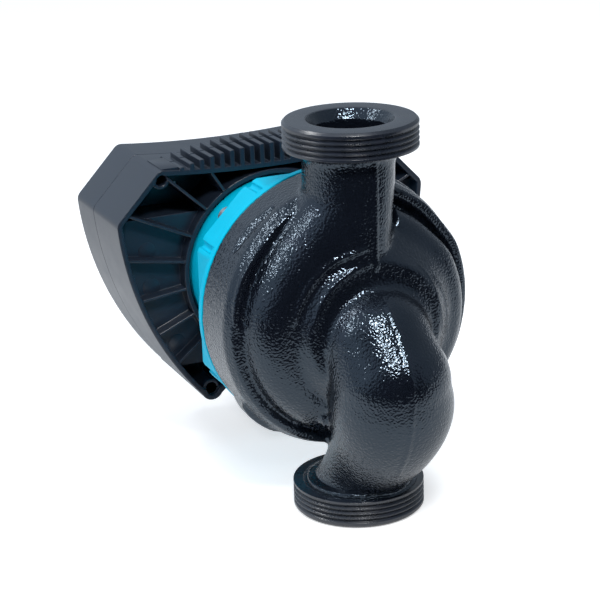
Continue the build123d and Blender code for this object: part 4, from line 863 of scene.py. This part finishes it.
# %% Softened copy
FLAT_ANGLE, CORNER_ANGLE = math.radians(0.6), math.radians(28)


def softened(node, width, weld=0.12):
    """Show the node with its corners rounded. width and weld are in millimetres."""
    bm = solid_copy(node, weld)
    bmesh.ops.dissolve_limit(bm, angle_limit=FLAT_ANGLE, verts=bm.verts, edges=bm.edges,
                             delimit={"NORMAL"})
    if node in ("rear_shell", "front_cover"):
        bevel(bm, outer_corners(bm), CORNER_ROUND, segments=4)
    bevel(bm, [edge for edge in bm.edges
               if edge.is_manifold and edge.calc_face_angle(0) > CORNER_ANGLE], width, segments=2)
    bmesh.ops.triangulate(bm, faces=[face for face in bm.faces if len(face.verts) > 4])
    kept_inside(bm, node)
    print(node, len(bm.faces), "faces,", open_edges(bm), "open edges")
    obj = finished(node + "_shown", bm, node)
    weighted = obj.modifiers.new("weighted", "WEIGHTED_NORMAL")
    weighted.weight = 100
    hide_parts(node)


print("recipe: softened")

# %% [markdown]
# ## Moulded and die-cast pieces
# These are the pieces with corners that show from outside. The width of the round follows
# how each is made: a die casting has the widest, and small buttons and screws the least.

# %% Softened pieces
CORNER_WIDTHS = {
    "motor_housing": 0.6, "rear_shell": 0.38, "front_cover": 0.4, "flange_screws": 0.25,
    "button_down": 0.2, "button_mode": 0.2, "button_up": 0.2, "gland_body": 0.2,
    "gland_nut": 0.25,
}
for node, width in CORNER_WIDTHS.items():
    softened(node, width)

# %% [markdown]
# ## Marks of the mould
# Pins push a moulding out of its mould, and each leaves a faint disc on the floor of the
# box. A shallow pad stands beside the first fin on either side. The discs are short
# cylinders sunk in the floor, so that only a hair of each stands proud.

# %% Mould marks
PINS = ((61.9, -3.9), (50.5, -33.9), (63.1, 14.0))     # across and up from the axes' crossing
PIN_R, PIN_PROUD, PIN_SUNK = 4.3, 0.14, 0.8
FLOOR_AT = 94.0                                        # the box's floor, along the motor axis
PAD_X, PAD_Y, PAD_TOP, PAD_THICK = (47.2, 55.4), (88.2, 108.0), BOX_TOP / MM + 0.25, 2.4
MARK_ROUND = 0.07

bm = bmesh.new()
lying = Matrix.Rotation(math.pi / 2, 4, "X")
for side in (-1, 1):
    for across, high in PINS:
        at = Vector((side * across * MM, (FLOOR_AT + (PIN_SUNK - PIN_PROUD) / 2) * MM,
                     AXIS_Z + high * MM))
        bmesh.ops.create_cone(bm, cap_ends=True, cap_tris=False, segments=48,
                              radius1=PIN_R * MM, radius2=PIN_R * MM,
                              depth=(PIN_PROUD + PIN_SUNK) * MM,
                              matrix=Matrix.Translation(at) @ lying)
    size = Vector((PAD_X[1] - PAD_X[0], PAD_Y[1] - PAD_Y[0], PAD_THICK)) * MM
    at = Vector((side * sum(PAD_X) / 2 * MM, sum(PAD_Y) / 2 * MM,
                 AXIS_Z + (PAD_TOP - PAD_THICK / 2) * MM))
    bmesh.ops.create_cube(bm, size=1.0,
                          matrix=Matrix.Translation(at) @ Matrix.Diagonal((*size, 1)))
bevel(bm, [edge for edge in bm.edges if edge.calc_face_angle(0) > CORNER_ANGLE], MARK_ROUND,
      segments=2, slide=False)
print("mould marks", len(bm.faces), "faces,", open_edges(bm), "open edges")
finished("mould_marks", bm, "rear_shell", sharp=40)
